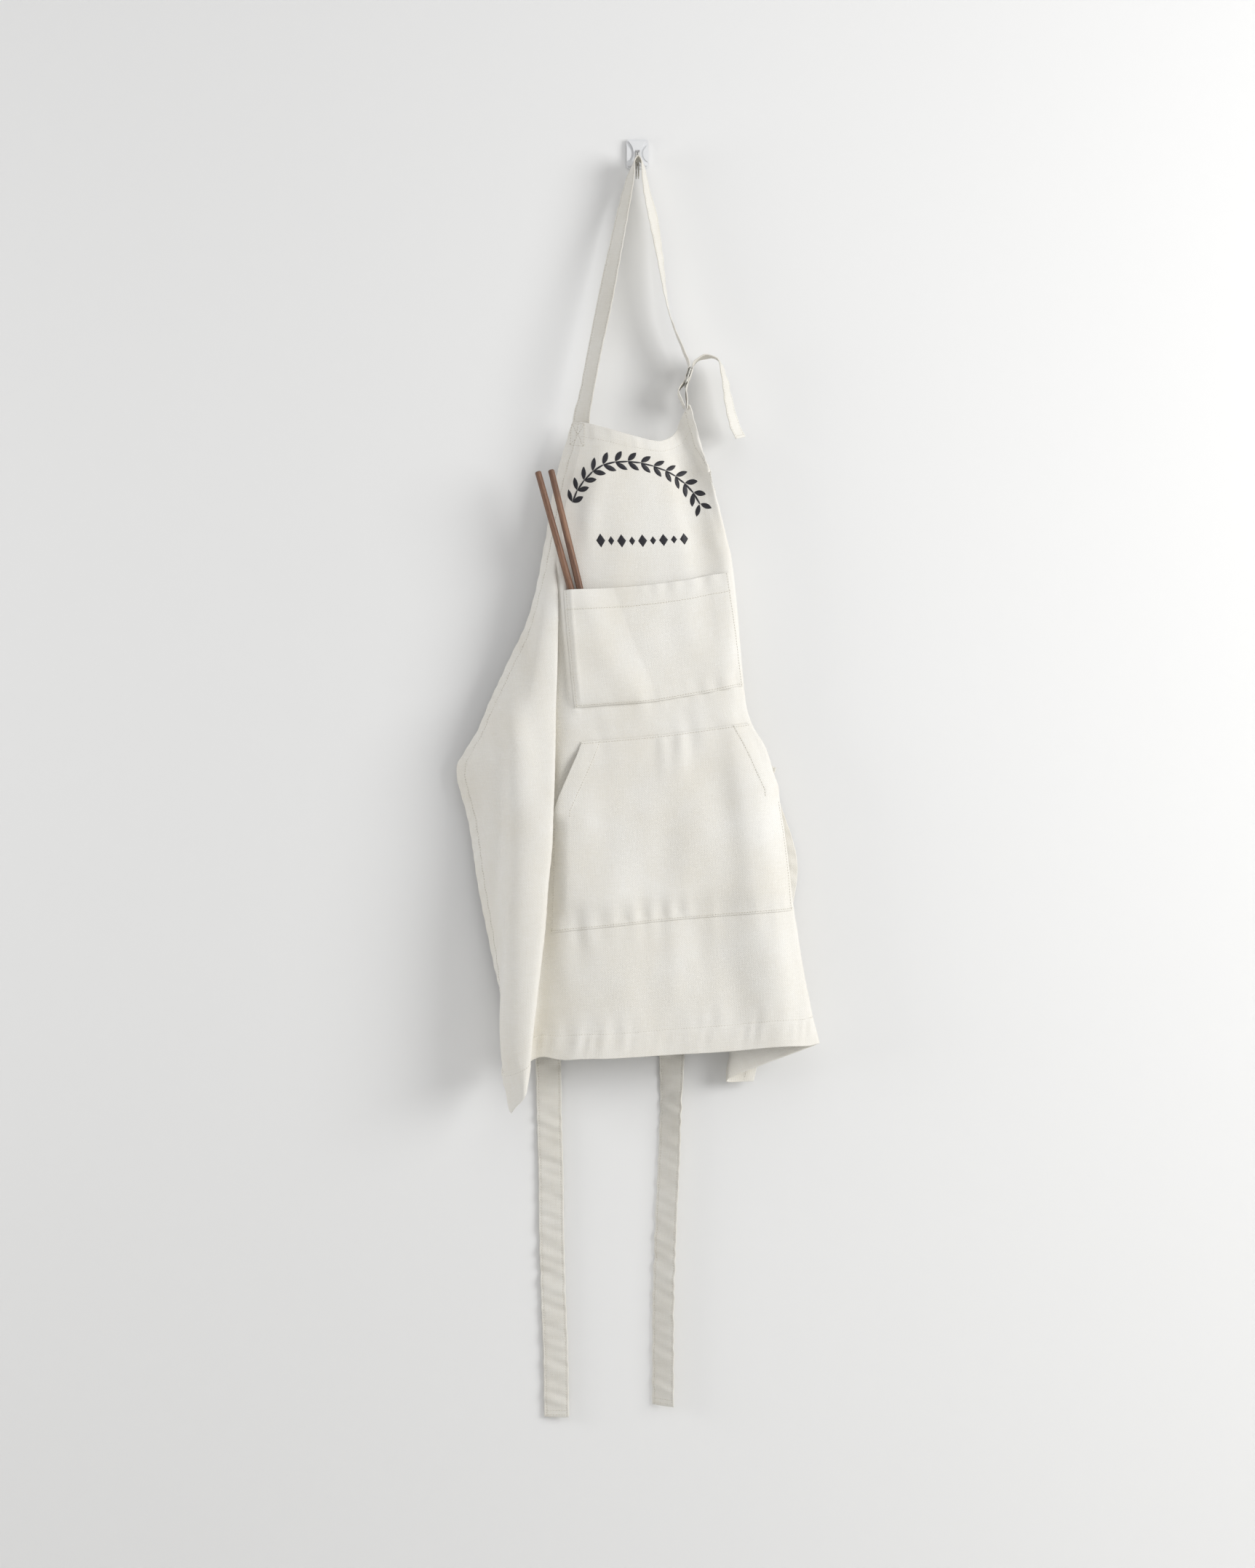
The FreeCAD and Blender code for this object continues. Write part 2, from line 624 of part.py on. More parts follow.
def make_anchor_loop():
    half = size("strap_width") / 2
    grid = ribbon_grid(across_slide(loop_route, -half, half))
    new_feature("anchor_loop", sheet_solid(grid, size("strap_thickness"), 0.5))


# Ties. The sewn part of each one lies behind the apron and its free part hangs below.

def tie_pairs(route, full_turn):
    # Edges square to the middle line, with half a width on each side. Past its first places the
    # tie is turned about its own length, which brings its right edge forward.
    half = size("tie_width") / 2
    pairs = []
    for index, (x, y, z) in enumerate(route):
        before = route[max(index - 1, 0)]
        after = route[min(index + 1, len(route) - 1)]
        along = vector(after[0] - before[0], 0, after[2] - before[2])
        along.normalize()
        turn = math.radians(full_turn) * step_up(index, 0, 3)
        side = vector(-along.z * math.cos(turn), -math.sin(turn), along.x * math.cos(turn)) * half
        middle = vector(x, y, z)
        pairs.append((tuple(middle - side), tuple(middle + side)))
    return pairs


tie_routes = {
    "left_tie_upper": [(-191, -15, -722), (-180.5, -12, -760), (-164.5, -9.6, -815), (-145, -9, -885),
                       (-122, -9, -960), (-108, -9, -1015), (-105, -9, -1040)],
    "left_tie": [(-105, -6.8, -1036), (-104, -6.8, -1060), (-103, -6.8, -1110), (-101, -6.8, -1190),
                 (-99, -6.8, -1290), (-96, -6.8, -1380), (-94, -6.8, -1473)],
    "right_tie_upper": [(148, -9.9, -712), (136, -9.5, -745), (116, -9, -800), (88, -9, -875),
                        (60, -9, -950), (44, -9, -1010), (41, -9, -1036)],
    "right_tie": [(41, -4.4, -1032), (40, -5.6, -1060), (39, -9, -1110), (36, -10, -1190),
                  (32, -10, -1290), (30, -10, -1370), (30, -10, -1459)],
}
tie_turns = {"left_tie_upper": 0, "left_tie": 12, "right_tie_upper": 0, "right_tie": 33}


def make_ties():
    for name, route in tie_routes.items():
        grid = ribbon_grid(tie_pairs(route, tie_turns[name]))
        new_feature(name, sheet_solid(grid, size("tie_thickness"), 0.5))


# Chopsticks, each turned about its own axis: head at the top, thin tip in the pocket.

chopsticks = {
    "chopstick_left": (vector(-114, -66, -378), vector(-41, -66, -638)),
    "chopstick_right": (vector(-99, -66, -376), vector(-35, -66, -638)),
}


def make_chopstick(name, head, foot):
    body = new_body(name)
    profile = new_sketch(body, name + "_profile", "XZ_Plane")
    length = size("stick_length")
    radii = [size("stick_tip") / 2, size("stick_middle") / 2, size("stick_head") / 2]
    round_end = size("stick_head_round")
    outline = [(0, -length), (radii[0], -length), (radii[1], -length * 0.5), (radii[2], -round_end),
               (radii[2] - round_end, 0), (0, 0)]
    for start, end in zip(outline, outline[1:] + outline[:1]):
        profile.addGeometry(Part.LineSegment(vector(*start, 0), vector(*end, 0)), False)
    count = len(outline)
    for index in range(count):
        profile.addConstraint(Sketcher.Constraint("Coincident", index, 2, (index + 1) % count, 1))
    formulas = [
        ("0", "-Sizes.stick_length"),
        ("Sizes.stick_tip / 2", "-Sizes.stick_length"),
        ("Sizes.stick_middle / 2", "-Sizes.stick_length / 2"),
        ("Sizes.stick_head / 2", "-Sizes.stick_head_round"),
        ("Sizes.stick_head / 2 - Sizes.stick_head_round", "0"),
        ("0", "0"),
    ]
    for index, (across, up) in enumerate(formulas):
        if across == "0":
            profile.addConstraint(Sketcher.Constraint("PointOnObject", index, 1, -2))
        else:
            bind(profile, Sketcher.Constraint("DistanceX", -1, 1, index, 1, 1.0), "Across%d" % index, across)
        if up == "0":
            profile.addConstraint(Sketcher.Constraint("PointOnObject", index, 1, -1))
        else:
            bind(profile, Sketcher.Constraint("DistanceY", -1, 1, index, 1, -1.0), "Up%d" % index, up)
    turned = body.newObject("PartDesign::Revolution", name + "_turned")
    turned.Profile = profile
    turned.ReferenceAxis = (profile, ["V_Axis"])
    turned.Angle = 360.0
    doc.recompute()
    upright = FreeCAD.Rotation(vector(0, 0, 1), head - foot)
    body.Placement = FreeCAD.Placement(head, upright)


make_adhesive_strip()
make_hook_base()
make_wire_hook()
make_apron_body()
make_bib_pocket()
make_hand_pocket()
make_neck_strap()
make_slide_buckle()
make_strap_tail()
make_anchor_loop()
make_ties()
for stick_name, (stick_head, stick_foot) in chopsticks.items():
    make_chopstick(stick_name, stick_head, stick_foot)

doc.recompute()
for item in doc.Objects:
    if "Invalid" in item.State or "Error" in item.State:
        raise RuntimeError("%s failed: %s" % (item.Label, item.State))
for item in sub_parts:
    if item.Shape.isNull() or not item.Shape.isValid():
        raise RuntimeError(item.Label + " has no valid shape")
    if len(item.Shape.Solids) != 1:
        raise RuntimeError(item.Label + " is not one solid")
    item.Shape.exportStep("parts/%s.step" % item.Label)
    box = item.Shape.BoundBox
    print("%-16s volume %9.1f  x %7.1f %7.1f  y %7.1f %7.1f  z %8.1f %8.1f" % (
        item.Label, item.Shape.Volume, box.XMin, box.XMax, box.YMin, box.YMax, box.ZMin, box.ZMax))
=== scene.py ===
# A canvas bib apron hangs by its neck strap from a small stick-on wire hook.
# The wall is the plane y = 0, the viewer looks along +Y and +X is to the viewer's right.
import bpy
import numpy as np
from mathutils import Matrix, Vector


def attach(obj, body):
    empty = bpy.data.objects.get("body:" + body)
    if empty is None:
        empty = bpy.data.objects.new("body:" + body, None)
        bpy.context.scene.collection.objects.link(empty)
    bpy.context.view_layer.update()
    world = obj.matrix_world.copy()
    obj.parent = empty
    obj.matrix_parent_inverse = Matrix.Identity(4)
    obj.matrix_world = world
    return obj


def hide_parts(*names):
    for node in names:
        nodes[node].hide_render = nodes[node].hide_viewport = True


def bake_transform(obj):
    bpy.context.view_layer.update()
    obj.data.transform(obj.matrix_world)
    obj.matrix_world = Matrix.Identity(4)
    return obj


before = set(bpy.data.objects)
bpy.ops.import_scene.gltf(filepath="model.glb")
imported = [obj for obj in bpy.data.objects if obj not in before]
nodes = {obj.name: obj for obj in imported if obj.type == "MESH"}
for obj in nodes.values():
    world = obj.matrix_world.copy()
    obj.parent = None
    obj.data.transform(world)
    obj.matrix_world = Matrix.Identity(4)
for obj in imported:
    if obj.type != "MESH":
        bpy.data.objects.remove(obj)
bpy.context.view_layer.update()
mm = 0.001
random = np.random.default_rng(41)

# camera and studio

studio = {
    "cameraPlace": (-0.011475, -3.0, -0.7353),
    "lens": 58.93,
    "wallSize": (9.0, 7.0), "wallPlace": 0.0003,
    "floorHeight": -2.1,
    "wallColour": "#F0F0EF",
    "floorColour": "#D6D5D2",
    "keyPlace": (2.4, -1.75, -0.15), "keySize": 1.7, "keyPower": 56.0,
    "fillPlace": (0.2, -2.6, 1.2), "fillSize": 2.4, "fillPower": 11.0,
    "sidePlace": (-2.3, -0.8, -0.55), "sideSize": 1.2, "sidePower": 12.0,
    "worldColour": "#F7F7F9", "worldStrength": 0.44,
}


def linear(hexColour):
    # sRGB hex to linear: below 0.04045 divide by 12.92, above it ((c + 0.055) / 1.055) to the power 2.4
    parts = np.array([int(hexColour[i:i + 2], 16) for i in (1, 3, 5)]) / 255
    parts = np.where(parts <= 0.04045, parts / 12.92, ((parts + 0.055) / 1.055) ** 2.4)
    return (*parts.tolist(), 1.0)


def addNode(tree, kind, inputs=None, **settings):
    # adds one node: settings are its own values, inputs are numbers or links for its sockets
    node = tree.nodes.new(kind)
    for name, value in settings.items():
        setattr(node, name, value)
    for key, value in (inputs or {}).items():
        if isinstance(value, bpy.types.NodeSocket):
            tree.links.new(value, node.inputs[key])
        else:
            node.inputs[key].default_value = value
    return node


def newMaterial(name, **sockets):
    material = bpy.data.materials.new(name)
    material.use_nodes = True
    shader = material.node_tree.nodes["Principled BSDF"]
    for socket, value in sockets.items():
        shader.inputs[socket.replace("_", " ")].default_value = value
    return material, material.node_tree, shader


def addBump(tree, shader, height, strength, distance, **settings):
    bump = addNode(tree, "ShaderNodeBump", {"Height": height, "Strength": strength, "Distance": distance}, **settings)
    tree.links.new(bump.outputs["Normal"], shader.inputs["Normal"])


def addTint(tree, amount, dark, light):
    # mixes two colours, each a hex value or a link, by an amount from 0 to 1
    first, second = (linear(colour) if isinstance(colour, str) else colour for colour in (dark, light))
    return addNode(tree, "ShaderNodeMix", {0: amount, 6: first, 7: second}, data_type="RGBA").outputs[2]


def addNoise(tree, vector, scale, detail, **settings):
    return addNode(tree, "ShaderNodeTexNoise", {"Vector": vector, "Scale": scale, "Detail": detail},
                   **settings).outputs["Fac"]


def makePiece(name, vertices, faceGroups, material, uv=None, smooth=True):
    # faceGroups are arrays of faces, each array with its own number of corners; uv is one pair for each vertex
    mesh = bpy.data.meshes.new(name)
    corners = np.concatenate([group.ravel() for group in faceGroups]).astype(np.int32)
    totals = np.concatenate([np.full(len(group), group.shape[1]) for group in faceGroups]).astype(np.int32)
    mesh.vertices.add(len(vertices))
    mesh.vertices.foreach_set("co", np.asarray(vertices, np.float32).ravel())
    mesh.loops.add(len(corners))
    mesh.loops.foreach_set("vertex_index", corners)
    mesh.polygons.add(len(totals))
    mesh.polygons.foreach_set("loop_start", (np.cumsum(totals) - totals).astype(np.int32))
    mesh.polygons.foreach_set("use_smooth", np.full(len(totals), smooth))
    mesh.update(calc_edges=True)
    if uv is not None:
        layer = mesh.uv_layers.new(name="cloth")
        layer.data.foreach_set("uv", np.asarray(uv, np.float32)[corners].ravel())
    mesh.validate()
    mesh.materials.append(material)
    piece = bpy.data.objects.new(name, mesh)
    bpy.context.scene.collection.objects.link(piece)
    return piece


def aimAt(place, target):
    return (Vector(target) - Vector(place)).to_track_quat("-Z", "Y").to_euler()


def addAreaLight(name, place, size, power, target):
    data = bpy.data.lights.new(name, "AREA")
    data.shape = "DISK"
    data.size = size
    data.energy = power
    lamp = bpy.data.objects.new(name, data)
    lamp.location = place
    lamp.rotation_euler = aimAt(place, target)
    bpy.context.scene.collection.objects.link(lamp)


def makeStudio():
    camera = bpy.data.objects.new("camera", bpy.data.cameras.new("camera"))
    camera.data.lens = studio["lens"]
    camera.location = studio["cameraPlace"]
    camera.rotation_euler = (np.pi / 2, 0, 0)
    bpy.context.scene.collection.objects.link(camera)
    bpy.context.scene.camera = camera

    # matt emulsion on plaster: the wall's back lets the view through, so the apron shows from behind
    wallPaint, tree, shader = newMaterial("matt wall emulsion", Base_Color=linear(studio["wallColour"]),
                                          Roughness=0.85)
    place = addNode(tree, "ShaderNodeTexCoord").outputs["Object"]
    addBump(tree, shader, addNoise(tree, place, 160.0, 4.0), 0.04, 0.0005)
    facing = addNode(tree, "ShaderNodeNewGeometry")
    clear = addNode(tree, "ShaderNodeBsdfTransparent")
    seen = addNode(tree, "ShaderNodeMixShader", {0: facing.outputs["Backfacing"], 1: shader.outputs["BSDF"],
                                                 2: clear.outputs["BSDF"]})
    tree.links.new(seen.outputs["Shader"], tree.nodes["Material Output"].inputs["Surface"])
    width, height = studio["wallSize"]
    low = studio["floorHeight"]
    # it stands just behind y = 0, so that it doesn't lie in the foam tape's own back face
    back = studio["wallPlace"]
    corners = np.array([(-width / 2, back, low), (width / 2, back, low), (width / 2, back, low + height),
                        (-width / 2, back, low + height)])
    wall = makePiece("wall", corners, [np.array([[0, 1, 2, 3]])], wallPaint)

    floorPaint, tree, shader = newMaterial("pale matt floor", Base_Color=linear(studio["floorColour"]), Roughness=0.7)
    corners = np.array([(-width / 2, -6, low), (width / 2, -6, low), (width / 2, 3, low), (-width / 2, 3, low)])
    floor = makePiece("floor", corners, [np.array([[0, 1, 2, 3]])], floorPaint)

    addAreaLight("key", studio["keyPlace"], studio["keySize"], studio["keyPower"], (0, 0, -0.75))
    addAreaLight("fill", studio["fillPlace"], studio["fillSize"], studio["fillPower"], (0, 0, -0.8))
    addAreaLight("side", studio["sidePlace"], studio["sideSize"], studio["sidePower"], (0, 0, -0.8))
    world = bpy.data.worlds.new("studio")
    world.use_nodes = True
    world.node_tree.nodes["Background"].inputs["Color"].default_value = linear(studio["worldColour"])
    world.node_tree.nodes["Background"].inputs["Strength"].default_value = studio["worldStrength"]
    bpy.context.scene.world = world
    # plain sRGB keeps the whites of cloth and wall apart
    bpy.context.scene.view_settings.view_transform = "Standard"


makeStudio()
print("studio ready")

# the fold lines in millimetres: each one runs down the cloth through the same 13 levels
foldLines = {
    "leftEdge": [  # the armhole and side edge, back by the wall at the waist corner
        (-76, -30, -317), (-91, -32, -366), (-100, -34, -411), (-107, -36, -466), (-119, -36, -520),
        (-178, -28, -657), (-199, -22, -695), (-209, -18, -722), (-195, -18, -779), (-185, -20, -847),
        (-169, -24, -933), (-153, -26, -1007), (-157, -24, -1073)],
    "wingOuter": [  # the left wing coming forward from its edge
        (-72, -33, -317), (-87, -36, -367), (-96, -38, -411), (-104, -40, -466), (-112, -46, -520),
        (-156, -52, -657), (-171, -50, -694), (-178, -46, -724), (-168, -46, -779), (-164, -46, -844),
        (-157, -50, -928), (-157, -52, -1006), (-152, -50, -1086)],
    "wingFront": [  # the left wing's most forward part, with the lowest tip of the hem
        (-69, -36, -318), (-82, -40, -368), (-92, -43, -412), (-101, -46, -467), (-104, -56, -520),
        (-128, -72, -656), (-136, -76, -693), (-139, -78, -723), (-135, -80, -775), (-136, -82, -839),
        (-136, -84, -920), (-141, -84, -1005), (-143, -80, -1107)],
    "ridge": [  # the rounded fold that stands in front of the panel
        (-66, -40, -318), (-78, -44, -369), (-88, -47, -412), (-96, -52, -467), (-93, -60, -519),
        (-93, -66, -652), (-94, -72, -691), (-95, -76, -722), (-96, -80, -770), (-100, -84, -833),
        (-108, -88, -912), (-118, -92, -999), (-126, -94, -1090)],
    "valley": [  # the fold hidden behind the ridge
        (-62, -43, -319), (-75, -47, -370), (-85, -50, -413), (-91, -56, -468), (-95, -52, -516),
        (-100, -50, -650), (-102, -50, -688), (-104, -50, -720), (-106, -50, -769), (-110, -50, -831),
        (-116, -50, -909), (-120, -52, -986), (-125, -54, -1063)],
    "leftCrease": [  # where the panel starts
        (-59, -47, -320), (-70, -51, -371), (-80, -54, -413), (-84, -58, -469), (-84, -58, -514),
        (-78, -58, -649), (-80, -59, -688), (-86, -59, -719), (-89, -60, -767), (-86, -60, -829),
        (-82, -61, -904), (-77, -62, -977), (-75, -63, -1051)],
    "panelLeft": [
        (-37, -56, -327), (-43, -58, -374), (-47, -60, -418), (-45, -61, -468), (-44, -61, -512),
        (-25, -60, -645), (-30, -60, -684), (-32, -60, -716), (-34, -61, -764), (-34, -62, -827),
        (-32, -63, -899), (-29, -64, -975), (-26, -65, -1049)],
    "panelMiddle": [
        (-9, -60, -335), (-7, -61, -379), (-5, -62, -421), (-1, -63, -467), (-1, -63, -509),
        (15, -61, -642), (24, -60, -679), (26, -59, -710), (26, -59, -757), (30, -60, -822),
        (33, -60, -892), (38, -61, -968), (41, -62, -1045)],
    "panelRight": [
        (19, -55, -341), (32, -56, -380), (41, -57, -421), (49, -58, -463), (49, -60, -503),
        (57, -60, -635), (70, -61, -673), (74, -60, -704), (78, -60, -750), (85, -61, -815),
        (90, -62, -887), (97, -63, -963), (103, -64, -1041)],
    "rightCrease": [  # hollow down the bib and the most forward line below the waist
        (32, -46, -339), (53, -45, -375), (67, -48, -417), (75, -50, -459), (80, -53, -497),
        (91, -60, -629), (105, -64, -668), (111, -66, -700), (120, -68, -745), (128, -70, -809),
        (137, -72, -883), (151, -74, -957), (161, -74, -1035)],
    "rightTurn": [  # the panel going back towards the wall
        (43, -36, -331), (68, -46, -370), (82, -52, -415), (93, -55, -457), (102, -57, -493),
        (113, -56, -624), (122, -57, -666), (135, -58, -696), (149, -60, -742), (160, -60, -806),
        (168, -60, -881), (180, -62, -955), (195, -62, -1035)],
    "rightSide": [  # the outermost line on the right
        (49, -32, -317), (76, -55, -367), (91, -57, -413), (103, -52, -455), (110, -48, -490),
        (121, -42, -623), (130, -44, -664), (145, -44, -693), (157, -44, -739), (167, -44, -804),
        (175, -46, -880), (186, -46, -955), (203, -46, -1036)],
    "backFold": [  # the fold of the right wing, close to the wall
        (54, -39, -306), (79, -58, -366), (93, -50, -412), (101, -38, -454), (97, -30, -490),
        (71, -24, -627), (75, -24, -670), (83, -26, -703), (96, -26, -752), (113, -26, -821),
        (113, -26, -899), (114, -26, -983), (105, -26, -1077)],
    "rightEdge": [  # the right armhole and side edge
        (60, -50, -299), (78, -50, -364), (85, -40, -411), (86, -28, -453), (73, -20, -492),
        (109, -13, -623), (124, -13, -674), (151, -13, -710), (166, -13, -757), (186, -13, -830),
        (173, -13, -910), (154, -13, -995), (135, -13, -1081)],
}


lastLine = len(foldLines) - 1
lastLevel = len(foldLines["leftEdge"]) - 1


def curveThrough(points, places):
    # Catmull-Rom: between two points, the cubic whose slope at each is half the step between its neighbours
    last = len(points) - 1
    places = np.asarray(places, float)
    start = np.clip(np.floor(places).astype(int), 0, last - 1)
    part = (places - start).reshape(places.shape + (1,) * (points.ndim - 1))
    ends = np.concatenate([[2 * points[0] - points[1]], points, [2 * points[-1] - points[-2]]])
    before, here, ahead, after = (ends[start + step] for step in range(4))
    return (here * (2 * part**3 - 3 * part**2 + 1) + (ahead - before) / 2 * (part**3 - 2 * part**2 + part)
            + ahead * (3 * part**2 - 2 * part**3) + (after - here) / 2 * (part**3 - part**2))


def runLength(points, axis):
    # distance along the points, from 0 at the first
    steps = np.linalg.norm(np.diff(points, axis=axis), axis=-1)
    start = np.zeros_like(np.take(steps, [0], axis=axis))
    return np.concatenate([start, np.cumsum(steps, axis=axis)], axis=axis)


def readTable(table, rows, columns):
    # straight-line reading between the four nearest entries of a table
    rows = np.clip(rows, 0, table.shape[0] - 1.001)
    columns = np.clip(columns, 0, table.shape[1] - 1.001)
    row, column = rows.astype(int), columns.astype(int)
    down, across = rows - row, columns - column
    if table.ndim == 3:
        down, across = down[..., None], across[..., None]
    top = table[row, column] * (1 - across) + table[row, column + 1] * across
    foot = table[row + 1, column] * (1 - across) + table[row + 1, column + 1] * across
    return top * (1 - down) + foot * down


def surfaceNormals(points):
    # the cross product of the step down a grid and the step across it, which faces the viewer
    normals = np.cross(np.gradient(points, axis=0), np.gradient(points, axis=1))
    return normals / np.maximum(np.linalg.norm(normals, axis=-1, keepdims=True), 1e-12)


def rise(value, start, end):
    # smooth step from 0 at start to 1 at end: 3x^2 - 2x^3
    part = np.clip((value - start) / (end - start), 0, 1)
    return part * part * (3 - 2 * part)


def bell(value, centre, width):
    # exp of minus the squared distance from the centre in widths
    return np.exp(-((value - centre) / width) ** 2)


def softNoise(across, down, pitchAcross, pitchDown, count=9):
    # a sum of sine waves with random directions and phases, about one in size
    total = 0
    for turn, phase, stretch in zip(random.uniform(0, 2 * np.pi, count), random.uniform(0, 2 * np.pi, count),
                                    random.uniform(0.6, 1.6, count)):
        total = total + np.sin(2 * np.pi * stretch * (across / pitchAcross * np.cos(turn)
                                                      + down / pitchDown * np.sin(turn)) + phase)
    return total / np.sqrt(count)


def ripples(along, pitch, wander=0.35):
    # a sine whose pitch drifts, as cloth puckers beside a row of stitches
    drift = wander * (np.sin(along / pitch * 1.7 + random.uniform(0, 6))
                      + np.sin(along / pitch * 0.61 + random.uniform(0, 6)))
    return np.sin(2 * np.pi * along / pitch + 2 * drift + random.uniform(0, 6))


weave = {"rowStep": 0.001, "sideStep": 0.001, "beyond": 0.012, "finePerSpan": 50, "edgeReach": 0.05}


def weaveTable():
    # the fold lines become a table of places by two lengths measured on the cloth: down from the top hem
    # along the panel's middle, and sideways from that middle line, left negative
    lines = np.array(list(foldLines.values())) * mm
    fine = weave["finePerSpan"]
    levelPlaces = np.linspace(0, lastLevel, lastLevel * fine + 1)
    linePlaces = np.linspace(0, lastLine, lastLine * fine + 1)
    down = curveThrough(lines.transpose(1, 0, 2), levelPlaces)
    dense = curveThrough(down.transpose(1, 0, 2), linePlaces).transpose(1, 0, 2)
    middle = list(foldLines).index("panelMiddle") * fine
    rowDown = runLength(dense[:, middle], 0)
    regularDown = np.arange(0, rowDown[-1] + weave["rowStep"] / 2, weave["rowStep"])
    rowPlaces = np.interp(regularDown, rowDown, np.arange(len(rowDown)))
    rows = readTable(dense, *np.meshgrid(rowPlaces, np.arange(len(linePlaces)), indexing="ij"))
    side = runLength(rows, 1)
    side = side - side[:, middle:middle + 1]
    # both edges go straight on for a little, so that a reading at the very edge is exact
    far = weave["edgeReach"]
    leftWay, rightWay = rows[:, 0] - rows[:, 1], rows[:, -1] - rows[:, -2]
    leftEnd = rows[:, 0] + far * leftWay / np.linalg.norm(leftWay, axis=1, keepdims=True)
    rightEnd = rows[:, -1] + far * rightWay / np.linalg.norm(rightWay, axis=1, keepdims=True)
    rowsLonger = np.concatenate([leftEnd[:, None], rows, rightEnd[:, None]], axis=1)
    sideLonger = np.concatenate([side[:, :1] - far, side, side[:, -1:] + far], axis=1)
    regularSide = np.arange(side.min() - weave["beyond"], side.max() + weave["beyond"], weave["sideStep"])
    table = np.stack([np.stack([np.interp(regularSide, sideRow, row[:, axis]) for axis in range(3)], axis=-1)
                      for sideRow, row in zip(sideLonger, rowsLonger)])
    return table, side, rowDown[::fine], regularDown, regularSide


clothTable, sideOfLine, downOfLevel, regularDown, regularSide = weaveTable()
clothLength = downOfLevel[-1]


def sideAt(line, down):
    # the length sideways of a fold line at a length down; line counts the lines from 0 at the left edge
    line, down = np.broadcast_arrays(np.asarray(line, float), np.asarray(down, float))
    return readTable(sideOfLine, down / weave["rowStep"], line * weave["finePerSpan"])


def readCloth(table, side, down):
    # what a table of the cloth holds at a place on it
    side, down = np.broadcast_arrays(np.asarray(side, float), np.asarray(down, float))
    return readTable(table, down / weave["rowStep"], (side - regularSide[0]) / weave["sideStep"])


apronLook = {
    "thickness": 0.0009,
    "rows": 236, "columns": 190,
    "footHem": 0.029, "sideHem": 0.012, "topHem": 0.0135,   # hem widths
    "hemStep": 0.0005,   # how far the folded hem stands proud
    "groove": 0.0005, "grooveWidth": 0.0016,   # how deep and how wide a row of stitches pulls in
    "hemGap": 0.0001, "hemInset": 0.0006,      # the turned edge lies this far behind the cloth and inside its edge
    "wrinkle": 0.0011, "broadPitch": (0.14, 0.34), "finePitch": (0.05, 0.11),   # pitches across and down
    "strapSquare": (-0.0795, -0.0560, 0.0015, 0.0225),   # the sewn square over the strap: left, right, top, foot
}
# pocket edges are lengths on the cloth in metres: down from the top hem, and sideways from the panel's middle
bibPocketLook = {"top": 0.1745, "foot": 0.308, "left": (-0.0825, -0.0865), "right": (0.1075, 0.1105), "hem": 0.022,
                 "stickRoom": 0.0118, "thickness": 0.0009, "gap": 0.0004, "pinch": 0.006, "pinchWidth": 0.005,
                 "hemRipple": 0.0007, "ripplePitch": 0.021, "stickTop": 0.085, "stickLean": 0.17, "stickReach": 0.19}
# mouthShare and mouthWidths are two places down the slanted mouth and the pocket's width there
handPocketLook = {"top": 0.347, "foot": 0.5595, "mouthFoot": 0.424, "left": (-0.0885, -0.1245, -0.1365),
                  "right": (0.1075, 0.1410, 0.1500), "room": 0.0062, "thickness": 0.0009, "gap": 0.0004,
                  "mouthHem": 0.021, "mouthShare": (0, 0.362), "mouthWidths": (0.196, 0.266), "pucker": 0.0010}
# the left wing's lowest corner, and the hollow in the hem beside it
wingTip = {"side": -0.250, "reach": 0.07, "depth": 0.011, "width": 0.009, "fill": 0.007, "fillWidth": 0.035,
           "hollow": -0.157, "hollowLift": 0.009, "hollowWidth": 0.022}

# soft folds, each along a slanting line: places at its top and its foot, depth and half width
softFolds = [
    ((-0.214, 0.339), (-0.268, 0.505), -0.0035, 0.012),   # the valley inside the left wing's outer strip
    ((-0.150, 0.180), (-0.190, 0.420), -0.0030, 0.016),
    ((-0.232, 0.520), (-0.262, 0.700), 0.0030, 0.014),
    ((0.007, 0.565), (0.005, 0.655), 0.0028, 0.013),      # below the hand pocket
    ((0.034, 0.565), (0.040, 0.640), -0.0018, 0.012),
    ((0.072, 0.350), (0.080, 0.545), -0.0030, 0.022),     # the hollow left of the lower right crease
    ((0.020, 0.360), (0.030, 0.520), 0.0022, 0.026),
    ((-0.030, 0.020), (-0.055, 0.120), 0.0022, 0.012),    # the bib below its left corner
    ((0.052, 0.020), (0.072, 0.170), -0.0022, 0.012),
    ((0.064, 0.600), (0.084, 0.700), -0.0020, 0.020),
    ((-0.134, 0.370), (-0.166, 0.720), -0.0060, 0.015),   # the hollow behind the standing fold
    ((-0.182, 0.300), (-0.242, 0.690), 0.0055, 0.024),    # the left wing's own rounded front
]


